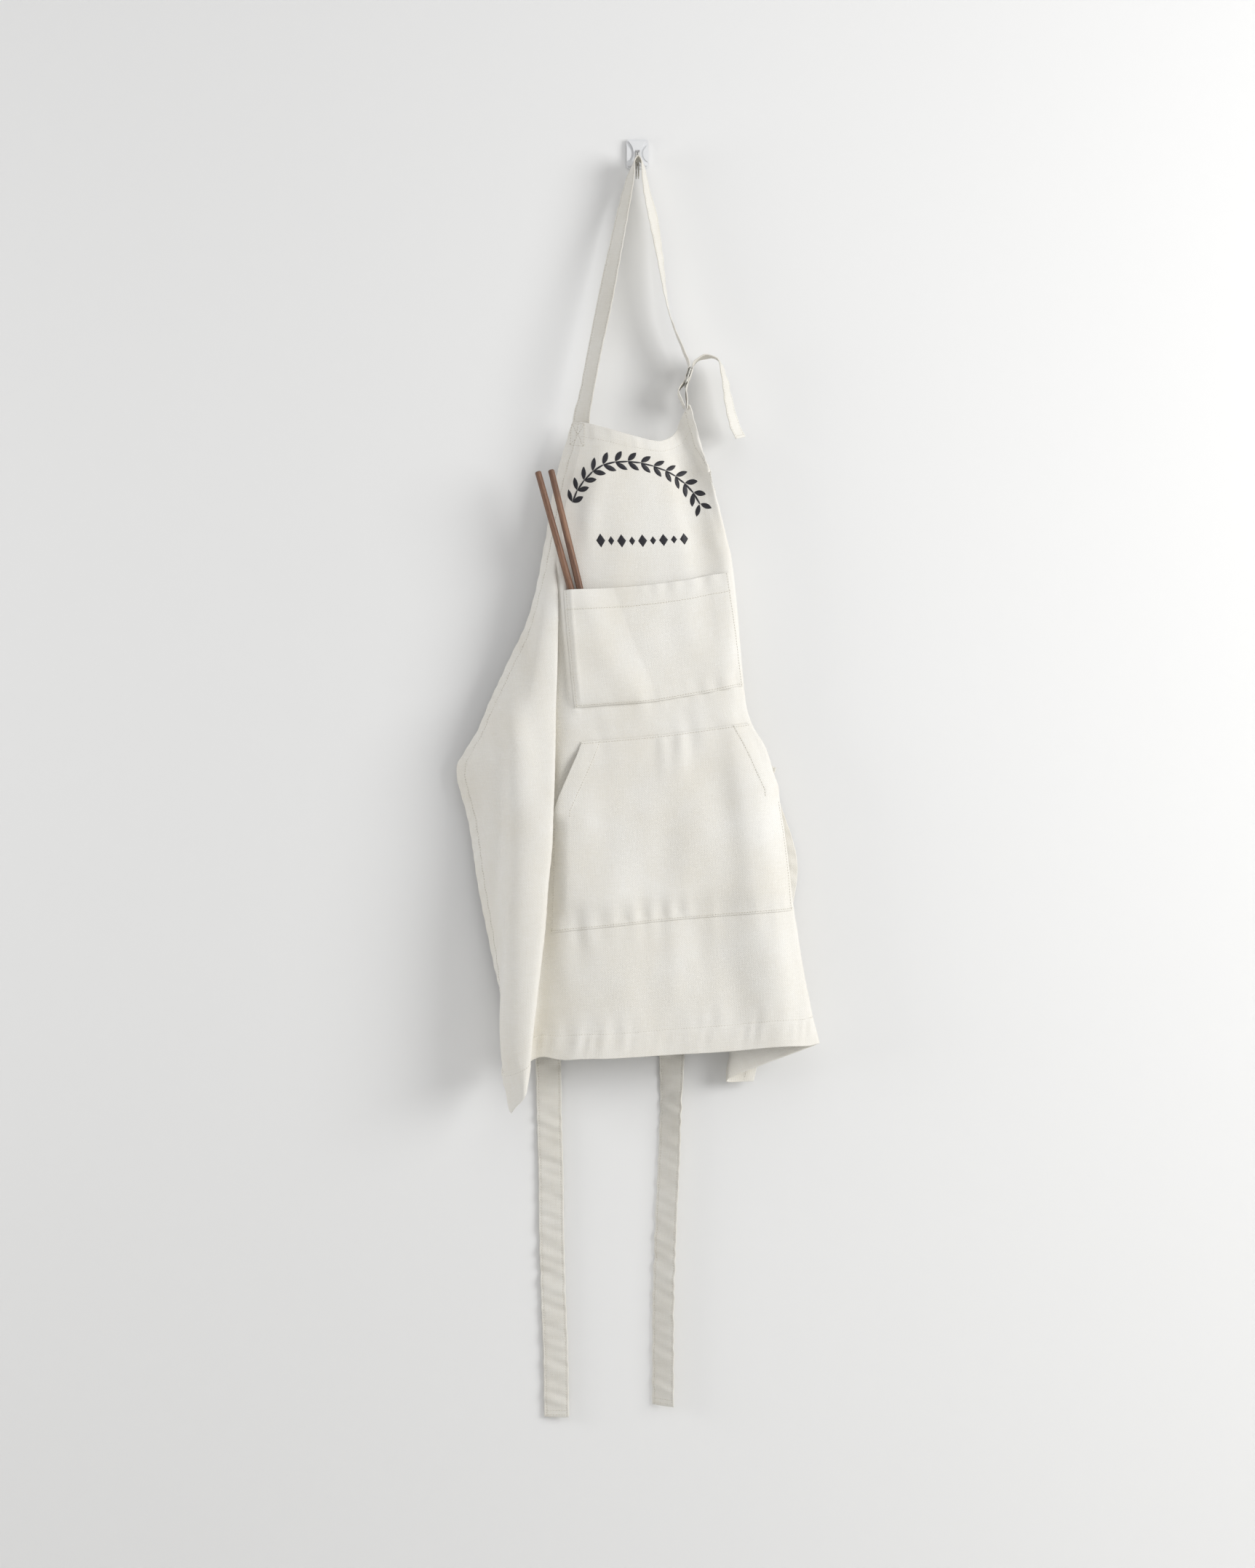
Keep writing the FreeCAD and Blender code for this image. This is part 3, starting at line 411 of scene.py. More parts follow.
def drape():
    # how far the cloth stands forward of the smooth fold surface: hems, seams, puckers and soft wrinkles
    look = apronLook
    down, side = np.meshgrid(regularDown, regularSide, indexing="ij")
    leftEdge = sideAt(0, regularDown)[:, None]
    rightEdge = sideAt(lastLine, regularDown)[:, None]
    fromLeft, fromRight, fromFoot = side - leftEdge, rightEdge - side, clothLength - down
    total = look["wrinkle"] * softNoise(side, down, *look["broadPitch"])
    total = total + 0.35 * look["wrinkle"] * softNoise(side, down, *look["finePitch"])

    for top, foot, depth, width in softFolds:
        slant = (foot[0] - top[0]) / (foot[1] - top[1])
        away = side - top[0] - slant * (down - top[1])
        span = rise(down, top[1] - 0.03, top[1] + 0.03) * rise(-down, -foot[1] - 0.03, -foot[1] + 0.03)
        total = total + depth * bell(away, 0, width) * span

    # foot hem: a raised band, a groove at its stitches and slanting ripples between them and the edge
    stitchLine = look["footHem"]
    band = rise(fromFoot, stitchLine + 0.001, stitchLine - 0.001)
    total = total + look["hemStep"] * band - look["groove"] * bell(fromFoot, stitchLine, look["grooveWidth"])
    patchy = 0.5 + 0.5 * np.clip(softNoise(side, down * 0, 0.07, 1.0, 4), -1, 1)
    roping = ripples(side + 0.2 * (stitchLine - fromFoot), 0.0165, 0.8) * patchy
    total = total + 0.0008 * roping * bell(fromFoot, stitchLine * 0.62, 0.014)
    total = total + 0.0006 * ripples(side, 0.024) * patchy * bell(fromFoot, stitchLine + 0.006, 0.016)

    # top hem
    stitchLine = look["topHem"]
    band = rise(down, stitchLine + 0.001, stitchLine - 0.001)
    total = total + look["hemStep"] * band - look["groove"] * bell(down, stitchLine, look["grooveWidth"])
    patchy = 0.4 + 0.6 * np.clip(softNoise(side, down * 0, 0.06, 1.0, 4), -1, 1)
    total = total + 0.0007 * patchy * ripples(side - 0.2 * down, 0.0150, 0.8) * bell(down, stitchLine * 0.6, 0.009)

    # side hems, which are the armholes above the waist
    for away in (fromLeft, fromRight):
        stitchLine = look["sideHem"]
        band = rise(away, stitchLine + 0.001, stitchLine - 0.001)
        total = total + look["hemStep"] * band - look["groove"] * bell(away, stitchLine, look["grooveWidth"])
        total = total + 0.0006 * ripples(down + 0.4 * away, 0.017) * bell(away, stitchLine * 0.6, 0.010)

    # the bib pocket's left seam stands forward beside the chopsticks
    pocket = bibPocketLook
    top, foot = pocket["top"], pocket["foot"]
    seam = np.interp(down, (top, foot), pocket["left"])
    span = rise(down, top - 0.018, top + 0.004) * rise(-down, -foot - 0.012, -foot + 0.02)
    total = total + pocket["pinch"] * bell(side, seam, pocket["pinchWidth"]) * span

    # the two cross seams of the hand pocket and the foot of the bib pocket pull the cloth into short ripples
    for seamDown, left, right, size, pitch, reach in (
            (handPocketLook["top"], -0.085, 0.105, 0.0009, 0.027, 0.024),
            (handPocketLook["foot"], -0.120, 0.130, 0.0009, 0.024, 0.024),
            (bibPocketLook["foot"], -0.080, 0.105, 0.0006, 0.021, 0.014)):
        inside = rise(side, left - 0.004, left + 0.012) * rise(-side, -right - 0.004, -right + 0.012)
        strength = 0.5 + 0.5 * np.clip(softNoise(side, down * 0, 0.08, 1.0, 4), -1, 1)
        total = total + size * strength * ripples(side, pitch) * inside * bell(down, seamDown, reach)
        total = total - 0.5 * look["groove"] * inside * bell(down, seamDown, look["grooveWidth"])
    return total


def pointTheTip(table):
    # the left wing's lowest corner: a cusp, exp of minus the distance from its line, drawn down by its depth
    side, down = regularSide[None, :], regularDown[:, None]
    away = side - wingTip["side"]
    reach = rise(down, clothLength - wingTip["reach"], clothLength)
    drop = (wingTip["depth"] * np.exp(-np.abs(away) / wingTip["width"])
            - wingTip["fill"] * bell(away, 0, wingTip["fillWidth"]))
    moved = table.copy()
    moved[..., 2] += (wingTip["hollowLift"] * bell(side, wingTip["hollow"], wingTip["hollowWidth"]) - drop) * reach
    return moved


clothTable = pointTheTip(clothTable)
clothNormals = surfaceNormals(clothTable)
drapedTable = clothTable + clothNormals * drape()[..., None]
drapedNormals = surfaceNormals(drapedTable)
print("cloth worked out,", round(1000 * clothLength), "mm long")


def forwardNormals(side, down):
    # the cloth's normals, without any part to the left, so that a pocket lifts straight forward at the fold
    normals = readCloth(clothNormals, side, down)
    normals[..., 0] = np.maximum(normals[..., 0], 0)
    return normals / np.linalg.norm(normals, axis=-1, keepdims=True)


def fractions(count, inset):
    # even steps from 0 to 1 with one more close to each end, where an edge turns round
    return np.concatenate([[0, inset], np.linspace(0, 1, count)[1:-1], [1 - inset, 1]])


def gridFaces(rows, columns, first=0):
    # the four corners of each cell of a grid, in the order that faces the viewer
    corner = first + np.arange(rows - 1)[:, None] * columns + np.arange(columns - 1)
    return np.stack([corner, corner + columns, corner + columns + 1, corner + 1], axis=-1).reshape(-1, 4)


def borderOf(rows, columns):
    # the border's places in a grid, down the left side, along the foot, up the right side and back
    left = np.arange(rows) * columns
    foot = (rows - 1) * columns + np.arange(1, columns)
    right = np.arange(rows - 2, -1, -1) * columns + columns - 1
    top = np.arange(columns - 2, 0, -1)
    return np.concatenate([left, foot, right, top])


def closedSheet(name, front, back, uv, material):
    # two faces a cloth's thickness apart, joined by a rim that bulges out by half of it
    rows, columns = front.shape[:2]
    count = rows * columns
    frontFlat, backFlat = front.reshape(-1, 3), back.reshape(-1, 3)
    uvFlat = np.broadcast_to(uv, (rows, columns, 2)).reshape(-1, 2)
    border = borderOf(rows, columns)
    rowOf, columnOf = border // columns, border % columns
    inner = np.clip(rowOf, 1, rows - 2) * columns + np.clip(columnOf, 1, columns - 2)
    outward = frontFlat[border] - frontFlat[inner]
    outward = outward / np.maximum(np.linalg.norm(outward, axis=1, keepdims=True), 1e-9)
    half = np.linalg.norm(frontFlat[border] - backFlat[border], axis=1, keepdims=True) / 2
    rim = (frontFlat[border] + backFlat[border]) / 2 + outward * half
    vertices = np.concatenate([frontFlat, backFlat, rim])
    frontFaces = gridFaces(rows, columns)
    backFaces = gridFaces(rows, columns, count)[:, ::-1]
    here = np.arange(len(border))
    ahead = (here + 1) % len(border)
    rimOf = 2 * count + here
    rimAhead = 2 * count + ahead
    frontRim = np.stack([border[ahead], border[here], rimOf, rimAhead], axis=1)
    backRim = np.stack([count + border[here], count + border[ahead], rimAhead, rimOf], axis=1)
    return makePiece(name, vertices, [frontFaces, backFaces, frontRim, backRim],
                     material, np.concatenate([uvFlat, uvFlat, uvFlat[border]]))


canvasLook = {
    "cloth": "#EEECE6", "warm": "#E8E4DA",
    "threadPitch": 0.0013,   # the real plain weave has a thread every 0.5 mm, drawn coarser so that it shows
    "weaveDepth": 0.00010,
    "slubLength": 0.018, "slubWidth": 0.0011,
    "cloudSize": 0.07,
}


def canvasMaterial(name, look):
    # unbleached cotton canvas, plain woven and washed: matt, faintly warm, with thicker threads here and there
    material, tree, shader = newMaterial(name, Roughness=0.88, IOR=1.46, Specular_IOR_Level=0.25, Sheen_Weight=0.18,
                                         Sheen_Roughness=0.5, Sheen_Tint=linear("#FFFFFF"))
    place = addNode(tree, "ShaderNodeUVMap", uv_map="cloth")
    parts = addNode(tree, "ShaderNodeSeparateXYZ", {0: place.outputs["UV"]})
    waves = []
    for axis in ("X", "Y"):
        turns = addNode(tree, "ShaderNodeMath", {0: parts.outputs[axis], 1: np.pi / look["threadPitch"]},
                        operation="MULTIPLY")
        waves.append(addNode(tree, "ShaderNodeMath", {0: turns.outputs[0]}, operation="SINE"))
    overUnder = addNode(tree, "ShaderNodeMath", {0: waves[0].outputs[0], 1: waves[1].outputs[0]},
                        operation="MULTIPLY")
    slubs = []
    for across, along in (("slubWidth", "slubLength"), ("slubLength", "slubWidth")):
        spread = addNode(tree, "ShaderNodeMapping", {"Vector": place.outputs["UV"],
                                                     "Scale": (1 / look[across], 1 / look[along], 1.0)})
        slubs.append(addNoise(tree, spread.outputs["Vector"], 1.0, 1.0, noise_dimensions="2D"))
    threads = addNode(tree, "ShaderNodeMath", {0: slubs[0], 1: slubs[1]}, operation="ADD")
    height = addNode(tree, "ShaderNodeMath", {0: overUnder.outputs[0], 1: 0.4, 2: threads.outputs[0]},
                     operation="MULTIPLY_ADD")
    addBump(tree, shader, height.outputs[0], 0.55, look["weaveDepth"] * 3)
    cloud = addNoise(tree, place.outputs["UV"], 1 / look["cloudSize"], 3.0, noise_dimensions="2D")
    mixed = addNode(tree, "ShaderNodeMath", {0: threads.outputs[0], 1: 0.35, 2: cloud}, operation="MULTIPLY_ADD")
    amount = addNode(tree, "ShaderNodeMapRange", {"Value": mixed.outputs[0], "From Min": 0.55, "From Max": 1.15})
    tree.links.new(addTint(tree, amount.outputs[0], look["cloth"], look["warm"]), shader.inputs["Base Color"])
    return material


def threadMaterial(name, colour, ply):
    # two-ply cotton sewing thread, twisted: ply is the length of one twist
    material, tree, shader = newMaterial(name, Roughness=0.7, IOR=1.46, Specular_IOR_Level=0.3, Sheen_Weight=0.2)
    place = addNode(tree, "ShaderNodeTexCoord")
    twist = addNode(tree, "ShaderNodeTexWave", {"Vector": place.outputs["Object"], "Scale": 1 / ply,
                                                "Distortion": 1.5}, bands_direction="DIAGONAL")
    addBump(tree, shader, twist.outputs["Fac"], 0.4, 0.0001)
    tree.links.new(addTint(tree, twist.outputs["Fac"], *colour), shader.inputs["Base Color"])
    return material


apronCanvas = canvasMaterial("apron cotton canvas", canvasLook)
pocketCanvas = canvasMaterial("pocket cotton canvas", dict(canvasLook, cloth="#EFEDE7"))
strapCanvas = canvasMaterial("folded cotton strap", dict(canvasLook, cloth="#EAE8E1", warm="#E1DDD3"))
sewingThread = threadMaterial("cotton sewing thread", ("#E3DFD4", "#CBC6BA"), 0.004)

stitchLook = {"pitch": 0.0031, "length": 0.0024, "radius": 0.00038}


def unit(arrows):
    # arrows of length one, row by row
    return arrows / np.maximum(np.linalg.norm(arrows, axis=-1, keepdims=True), 1e-9)


def stitches(points, normals):
    # one stitch every pitch along a line: a six-sided capsule whose middle stands on the cloth and whose ends dip in
    look = stitchLook
    distance = runLength(points, 0)
    count = max(int(distance[-1] / look["pitch"]), 1)
    centres = (np.arange(count) + 0.5) * distance[-1] / count
    half = look["length"] / 2

    def readLine(values, places):
        return np.stack([np.interp(places, distance, values[:, axis]) for axis in range(3)], axis=-1)

    middle = readLine(points, centres)
    along = unit(readLine(points, centres + half) - readLine(points, centres - half))
    side = unit(np.cross(along, readLine(normals, centres)))
    up = np.cross(side, along)
    angle = np.arange(6) * np.pi / 3
    places = np.array([-1.0, -0.5, 0.5, 1.0]) * half
    radii = np.array([0.4, 1.0, 1.0, 0.4]) * look["radius"]
    heights = np.array([-0.35, 0.25, 0.25, -0.35]) * look["radius"]
    ring = (middle[:, None, None] + along[:, None, None] * places[:, None, None]
            + up[:, None, None] * (heights[:, None] + radii[:, None] * np.sin(angle))[..., None]
            + side[:, None, None] * (radii[:, None] * np.cos(angle))[..., None])
    corner = np.arange(6)
    ahead = (corner + 1) % 6
    walls = np.concatenate([np.stack([row * 6 + corner, row * 6 + ahead, row * 6 + 6 + ahead, row * 6 + 6 + corner],
                                     axis=1) for row in range(3)])
    ends = np.array([np.arange(6)[::-1], 18 + np.arange(6)])
    start = 24 * np.arange(count)[:, None, None]
    return ring.reshape(-1, 3), (walls + start).reshape(-1, 4), (ends + start).reshape(-1, 6)


def stitchPiece(name, lines):
    # all the rows of stitches of one piece, each given as points and normals
    vertices, walls, ends, first = [], [], [], 0
    for points, normals in lines:
        places, sides, caps = stitches(points, normals)
        vertices.append(places)
        walls.append(sides + first)
        ends.append(caps + first)
        first += len(places)
    return makePiece(name, np.concatenate(vertices), [np.concatenate(walls), np.concatenate(ends)], sewingThread)


def apronPoint(side, down, lift=0.0):
    # a place on the front of the draped cloth, lifted off it by lift
    return readCloth(drapedTable, side, down) + readCloth(drapedNormals, side, down) * np.asarray(lift)[..., None]


def makeApronBody():
    # one sheet: even shares of each row's width, and even steps down from the top hem to the foot hem
    look = apronLook
    down = clothLength * fractions(look["rows"], 0.0008)[:, None]
    share = fractions(look["columns"], 0.001)
    left, right = sideAt(0, down), sideAt(lastLine, down)
    side = left + (right - left) * share
    down = down + 0 * side
    front = apronPoint(side, down)
    back = front - surfaceNormals(front) * look["thickness"]
    piece = closedSheet("apron_cloth", front, back, np.stack([side, down], axis=-1), apronCanvas)
    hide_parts("apron_body")
    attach(piece, "apron")
    return piece


def hemFold(name, side, down):
    # the turned edge of a hem: a second layer of cloth behind the first; side and down are grids
    look = apronLook
    front, back = (apronPoint(side, down, np.full(side.shape, -layers * look["thickness"] - look["hemGap"]))
                   for layers in (1, 2))
    piece = closedSheet(name, front, back, np.stack([side, down], axis=-1), apronCanvas)
    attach(piece, "apron")
    return piece


def makeHemFolds():
    look = apronLook
    inset = look["hemInset"]
    share = fractions(9, 0.03)
    pieces = []
    sideRows = np.linspace(look["topHem"], clothLength - look["footHem"], 200)[:, None]
    width = look["sideHem"] + 0.002
    left = sideAt(0, sideRows) + inset + (width - inset) * share
    pieces.append(hemFold("left_side_hem", left, sideRows + 0 * left))
    right = sideAt(lastLine, sideRows) - width + (width - inset) * share
    pieces.append(hemFold("right_side_hem", right, sideRows + 0 * right))
    across = fractions(180, 0.001)
    for name, top, foot in (("top_hem", inset, look["topHem"] + 0.0015),
                            ("foot_hem", clothLength - look["footHem"] - 0.0015, clothLength - inset)):
        down = (top + (foot - top) * fractions(10, 0.03))[:, None]
        left, right = sideAt(0, down) + inset, sideAt(lastLine, down) - inset
        side = left + (right - left) * across
        pieces.append(hemFold(name, side, down + 0 * side))
    return pieces


def lineOnApron(side, down, face=1):
    # a line on the front or the back of the apron, for a row of stitches
    lift = 0.0 if face > 0 else -2.0 * apronLook["thickness"] - apronLook["hemGap"]
    side, down = np.broadcast_arrays(side, down)
    return apronPoint(side, down, np.full(side.shape, lift)), readCloth(drapedNormals, side, down) * face


def makeHemStitches():
    look = apronLook
    rows = np.linspace(0.001, clothLength - 0.001, 700)
    lines = []
    for face in (1, -1):
        lines.append(lineOnApron(sideAt(0, rows) + look["sideHem"], rows, face))
        lines.append(lineOnApron(sideAt(lastLine, rows) - look["sideHem"], rows, face))
        for down in (look["topHem"], clothLength - look["footHem"]):
            side = np.linspace(sideAt(0, down) + 0.001, sideAt(lastLine, down) - 0.001, 600)
            lines.append(lineOnApron(side, np.full(len(side), down), face))
    # the strap's end is sewn down with a square and its two diagonals
    square = look["strapSquare"]
    share = np.linspace(0, 1, 30)
    corners = [(square[0], square[2]), (square[1], square[2]), (square[1], square[3]), (square[0], square[3])]
    for start, end in ((0, 1), (1, 2), (2, 3), (3, 0), (0, 2), (1, 3)):
        side = corners[start][0] + (corners[end][0] - corners[start][0]) * share
        down = corners[start][1] + (corners[end][1] - corners[start][1]) * share
        lines.append(lineOnApron(side, down))
    piece = stitchPiece("hem_stitches", lines)
    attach(piece, "apron")
    return piece


apronCloth = makeApronBody()
hemFolds = makeHemFolds()
hemStitches = makeHemStitches()
print("apron body made")


noiseSeeds = {name: random.uniform(0, 2 * np.pi, (3, 9)) for name in ("bib", "hand", "strap", "tie")}


def softNoiseOf(name, across, down, pitch=0.05):
    # the same sum of sine waves every time it is asked for: directions, phases and stretches come from the seeds
    turns, phases, stretches = noiseSeeds[name]
    total = 0
    for turn, phase, stretch in zip(turns, phases, 0.7 + stretches / 6):
        total = total + np.sin(2 * np.pi * stretch / pitch
                               * (across * np.cos(turn) + down * np.sin(turn) * 0.6) + phase)
    return total / 3


def bibPocketPoint(across, down):
    # across and down run from 0 to 1 over the pocket; it is sewn at both sides and at its foot, bulges over the
    # chopsticks near its left side and gapes a little at the top
    look = bibPocketLook
    across, down = np.broadcast_arrays(across, down)
    length = look["top"] + (look["foot"] - look["top"]) * down
    left = look["left"][0] + (look["left"][1] - look["left"][0]) * down
    right = look["right"][0] + (look["right"][1] - look["right"][0]) * down
    side = left + (right - left) * across
    closing = np.sqrt(np.clip(1 - down**6, 0, 1))
    # the sticks lean to the right on their way down, and so does the bulge over them
    stickAt = look["stickTop"] + look["stickLean"] * down
    overSticks = np.where(across < stickAt, rise(across, -0.004, 0.040), bell(across, stickAt, look["stickReach"]))
    slack = 0.30 * rise(across, 0, 0.05) * rise(1 - across, 0, 0.12) * (1 - 0.35 * down)
    room = look["stickRoom"] * np.maximum(overSticks * (1 - 0.1 * down), slack) * closing
    fine = 0.0007 * softNoiseOf("bib", side, length) * closing * rise(across, 0, 0.05) * rise(1 - across, 0, 0.05)
    hemAt = look["hem"] / (look["foot"] - look["top"])
    hem = 0.0005 * rise(down, hemAt + 0.008, hemAt - 0.008) - 0.0005 * bell(down, hemAt, 0.013)
    ripple = look["hemRipple"] * np.sin(side * 2 * np.pi / look["ripplePitch"] + 1.2 * np.sin(side / 0.031)) * (
        bell(down, 0.0, 0.10) * rise(across, 0.35, 0.6) + 1.2 * bell(down, 0.97, 0.11) * rise(across, 0.5, 0.8))
    forward = forwardNormals(side, length)
    height = look["gap"] + look["thickness"] + room + fine + hem + ripple * rise(1 - across, 0, 0.04)
    return apronPoint(side, length) + forward * height[..., None], side, length


def handPocketPoint(across, down):
    # sewn along its top, its foot and its short sides; the slanted corners are the mouths
    look = handPocketLook
    across, down = np.broadcast_arrays(across, down)
    length = look["top"] + (look["foot"] - look["top"]) * down
    turns = (look["top"], look["mouthFoot"], look["foot"])
    left, right = np.interp(length, turns, look["left"]), np.interp(length, turns, look["right"])
    side = left + (right - left) * across
    ends = rise(down, 0, 0.13) * rise(1 - down, 0, 0.16)
    sewnSide = rise(down, 0.36, 0.46)
    edge = 1 - sewnSide * (1 - rise(across, 0, 0.08) * rise(1 - across, 0, 0.12))
    room = look["room"] * ends * edge * (1 - 0.75 * rise(across, 0.78, 1.0))
    fine = 0.0010 * softNoiseOf("hand", side, length, 0.085) * ends
    strength = np.clip(0.45 + 0.5 * np.sin(side / 0.023 + 0.5) + 0.25 * np.sin(side / 0.009), 0, 1)
    ripple = strength * np.sin(side * 2 * np.pi / 0.030 + 1.9 * np.sin(side / 0.024) + 1.0)
    pucker = look["pucker"] * ripple * bell(down, 0.05, 0.14)
    strength = np.clip(0.5 + 0.45 * np.sin(side / 0.031 + 2.2) + 0.3 * np.sin(side / 0.011), 0, 1)
    ripple = strength * np.sin(side * 2 * np.pi / 0.025 + 1.6 * np.sin(side / 0.027))
    pucker = pucker + look["pucker"] * ripple * bell(down, 0.96, 0.075)
    for away, reach in ((down, 0.02), (1 - down, 0.02), (across, 0.05), (1 - across, 0.05)):
        pucker = pucker * rise(away, 0, reach)
    mouthHem = look["mouthHem"] / (right - left)
    mouth = 0.0006 * (1 - sewnSide) * (rise(mouthHem - across, -0.003, 0.003)
                                       + rise(mouthHem - 1 + across, -0.003, 0.003))
    forward = forwardNormals(side, length)
    height = look["gap"] + look["thickness"] + np.maximum(room + fine + pucker, 0) + mouth
    return apronPoint(side, length) + forward * height[..., None], side, length


def makePocket(node, shape, look, rows, columns):
    across = fractions(columns, 0.004)[None, :]
    down = fractions(rows, 0.005)[:, None]
    front, side, length = shape(across, down)
    back = front - surfaceNormals(front) * look["thickness"]
    piece = closedSheet(node + "_cloth", front, back, np.stack([side, length], axis=-1), pocketCanvas)
    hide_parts(node)
    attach(piece, "apron")
    return piece


def lineOnPocket(shape, across, down):
    # a line on a pocket's front, for a row of stitches
    points, side, length = shape(across, down)
    return points, readCloth(drapedNormals, side, length)


def makePocketStitches():
    long = np.linspace(0, 1, 400)
    bib, hand = bibPocketPoint, handPocketPoint
    hemAt = bibPocketLook["hem"] / (bibPocketLook["foot"] - bibPocketLook["top"])
    bibLines = [lineOnPocket(bib, 0.011, long), lineOnPocket(bib, 0.989, long), lineOnPocket(bib, long, 0.983),
                lineOnPocket(bib, long, hemAt)]
    sewn = np.linspace(0.44, 1, 300)
    slant = np.linspace(0, 0.40, 200)
    look = handPocketLook
    mouth = look["mouthHem"] / np.interp(slant, look["mouthShare"], look["mouthWidths"])
    handLines = [lineOnPocket(hand, long, 0.009), lineOnPocket(hand, long, 0.991),
                 lineOnPocket(hand, 0.009, sewn), lineOnPocket(hand, 0.991, sewn),
                 lineOnPocket(hand, mouth, slant), lineOnPocket(hand, 1 - mouth, slant)]
    pieces = [stitchPiece("bib_pocket_stitches", bibLines),
              stitchPiece("hand_pocket_stitches", handLines)]
    for piece in pieces:
        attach(piece, "apron")
    return pieces


bibPocket = makePocket("bib_pocket", bibPocketPoint, bibPocketLook, 90, 130)
handPocket = makePocket("hand_pocket", handPocketPoint, handPocketLook, 120, 150)
bibStitches, handStitches = makePocketStitches()
print("pockets made")

# the tapes of the straps and ties: a tie turns between two depths below the hook, turnFrom and turnTo;
# tieFold is not used
tapeLook = {"width": 0.0285, "thickness": 0.0014, "edge": 0.0022, "groove": 0.00035, "pucker": 0.0008, "pitch": 0.017,
            "calm": 0.0002, "lively": 0.0005, "columns": 16, "rowStep": 0.0024, "neckStep": 0.0014,
            "loopStep": 0.0012, "tailTwist": 27, "leftTwist": 12, "rightTwist": 33, "turnFrom": 1.032, "turnTo": 1.110,
            "tieFold": 0.012}
slideCentre = np.array([58, -36, -266]) * mm
slideTilt = np.radians(18.6)
slideUp = np.array([np.sin(slideTilt), 0, np.cos(slideTilt)])
slideOut = np.array([np.cos(slideTilt), 0, -np.sin(slideTilt)])
wallWay = np.array([0, 1.0, 0])

# the neck strap's two edges in millimetres, from its sewn end up the left side and over the wire
neckRoute = [
    ((-57.6, -47.9, -352), (-78.1, -31.9, -347.5)), ((-57, -45.9, -337), (-76.8, -28.7, -333)),
    ((-55.9, -44.4, -320), (-75, -25.7, -317)), ((-54.4, -45.4, -305), (-72.6, -26.1, -302)),
    ((-50.5, -48, -284), (-66.5, -28, -281)),
    ((-41, -48, -236), (-57, -26, -232)), ((-27, -45, -169), (-44, -22, -165)),
    ((-12, -41, -83), (-25, -17, -78)), ((-5, -39, -42), (-14, -13, -36)),
    ((-3.4, -38.4, -24), (-8, -11.4, -20)), ((-3.0, -38.3, -15.4), (-5, -10.8, -14.4)),
    ((0.8, -38.3, -9.8), (0.8, -10.6, -9.6)), ((4.6, -38.3, -15.4), (6.6, -10.8, -14.4)),
    ((5.0, -38.4, -25), (9, -11.4, -21)), ((7.5, -39, -51), (14.5, -13, -46)),
    ((13, -41, -82), (23, -16, -77)), ((22, -44, -125), (29, -19, -121)),
    ((36, -49, -192), (37.5, -21.5, -190)),
]
# places beside the slide in millimetres, up along it and out from it
neckTurn = [(17, -5.0), (9, -2.6), (3, -2.4), (0, -2.5), (-2.0, -1.9), (-2.7, 0), (-2.0, 1.9), (0, 2.5), (3, 2.4),
            (9, 2.4)]
tailRoute = [(9.6, 2.5), (12, 1.7), (15.8, 1.0), (21, 3), (26.8, 8), (32, 18.5), (29.5, 28.5), (18.9, 37),
             (2.8, 46.3), (-18.6, 58), (-36.6, 70.3), (-46, 79.9)]
loopRoute = [(-36, 11.5), (-25, 7.5), (-16, 3.6), (-11.5, 2.4), (-8.4, 2.4), (-6.5, 1.8), (-5.8, 0), (-6.5, -1.8),
             (-8.4, -2.4), (-14, -4.7), (-20, -4.7), (-27, 1.2), (-33.5, 7)]
# each tie's middle line in millimetres, from where it is sewn to its free end
leftTieRoute = [(-191, -15, -722), (-180.5, -12, -760), (-164.5, -9.6, -815), (-145, -9, -885), (-122, -8.8, -960),
                (-108, -8.2, -1015), (-104, -7.4, -1050), (-103, -6.8, -1110), (-101, -6.8, -1190),
                (-99, -6.8, -1290), (-96, -6.8, -1380), (-94, -6.8, -1473)]
rightTieRoute = [(148, -9.9, -712), (136, -9.5, -745), (116, -9, -800), (88, -9, -875), (60, -8.6, -950),
                 (44, -8.0, -1010), (40.5, -5.6, -1050), (39, -9, -1110), (36, -10, -1190), (32, -10, -1290),
                 (30, -10, -1370), (30, -10, -1459)]


def besideSlide(route, twist=0.0):
    # the strap's width runs along Y at the slide, and turns about its own length by twist, in degrees, at the end
    places = np.array(route) * mm
    middle = slideCentre + places[:, :1] * slideUp + places[:, 1:] * slideOut
    sideways = np.cross(unit(np.gradient(middle, axis=0)), wallWay)
    turn = np.radians(twist) * rise(np.linspace(0, 1, len(route)), 0.3, 1.0)[:, None]
    across = (wallWay * np.cos(turn) + sideways * np.sin(turn)) * tapeLook["width"] / 2
    return middle - across, middle + across


def tieEdges(route, twist):
    # both edges stand half a width square to the middle line; below the hem the tie is turned about its length by
    # twist, in degrees, which brings its right edge forward
    middle = np.array(route) * mm
    along = np.gradient(middle, axis=0)
    flat = unit(np.stack([-along[:, 2], 0 * along[:, 1], along[:, 0]], axis=1))
    turn = np.radians(twist) * rise(-middle[:, 2], tapeLook["turnFrom"], tapeLook["turnTo"])[:, None]
    across = (flat * np.cos(turn) - wallWay * np.sin(turn)) * tapeLook["width"] / 2
    return middle - across, middle + across


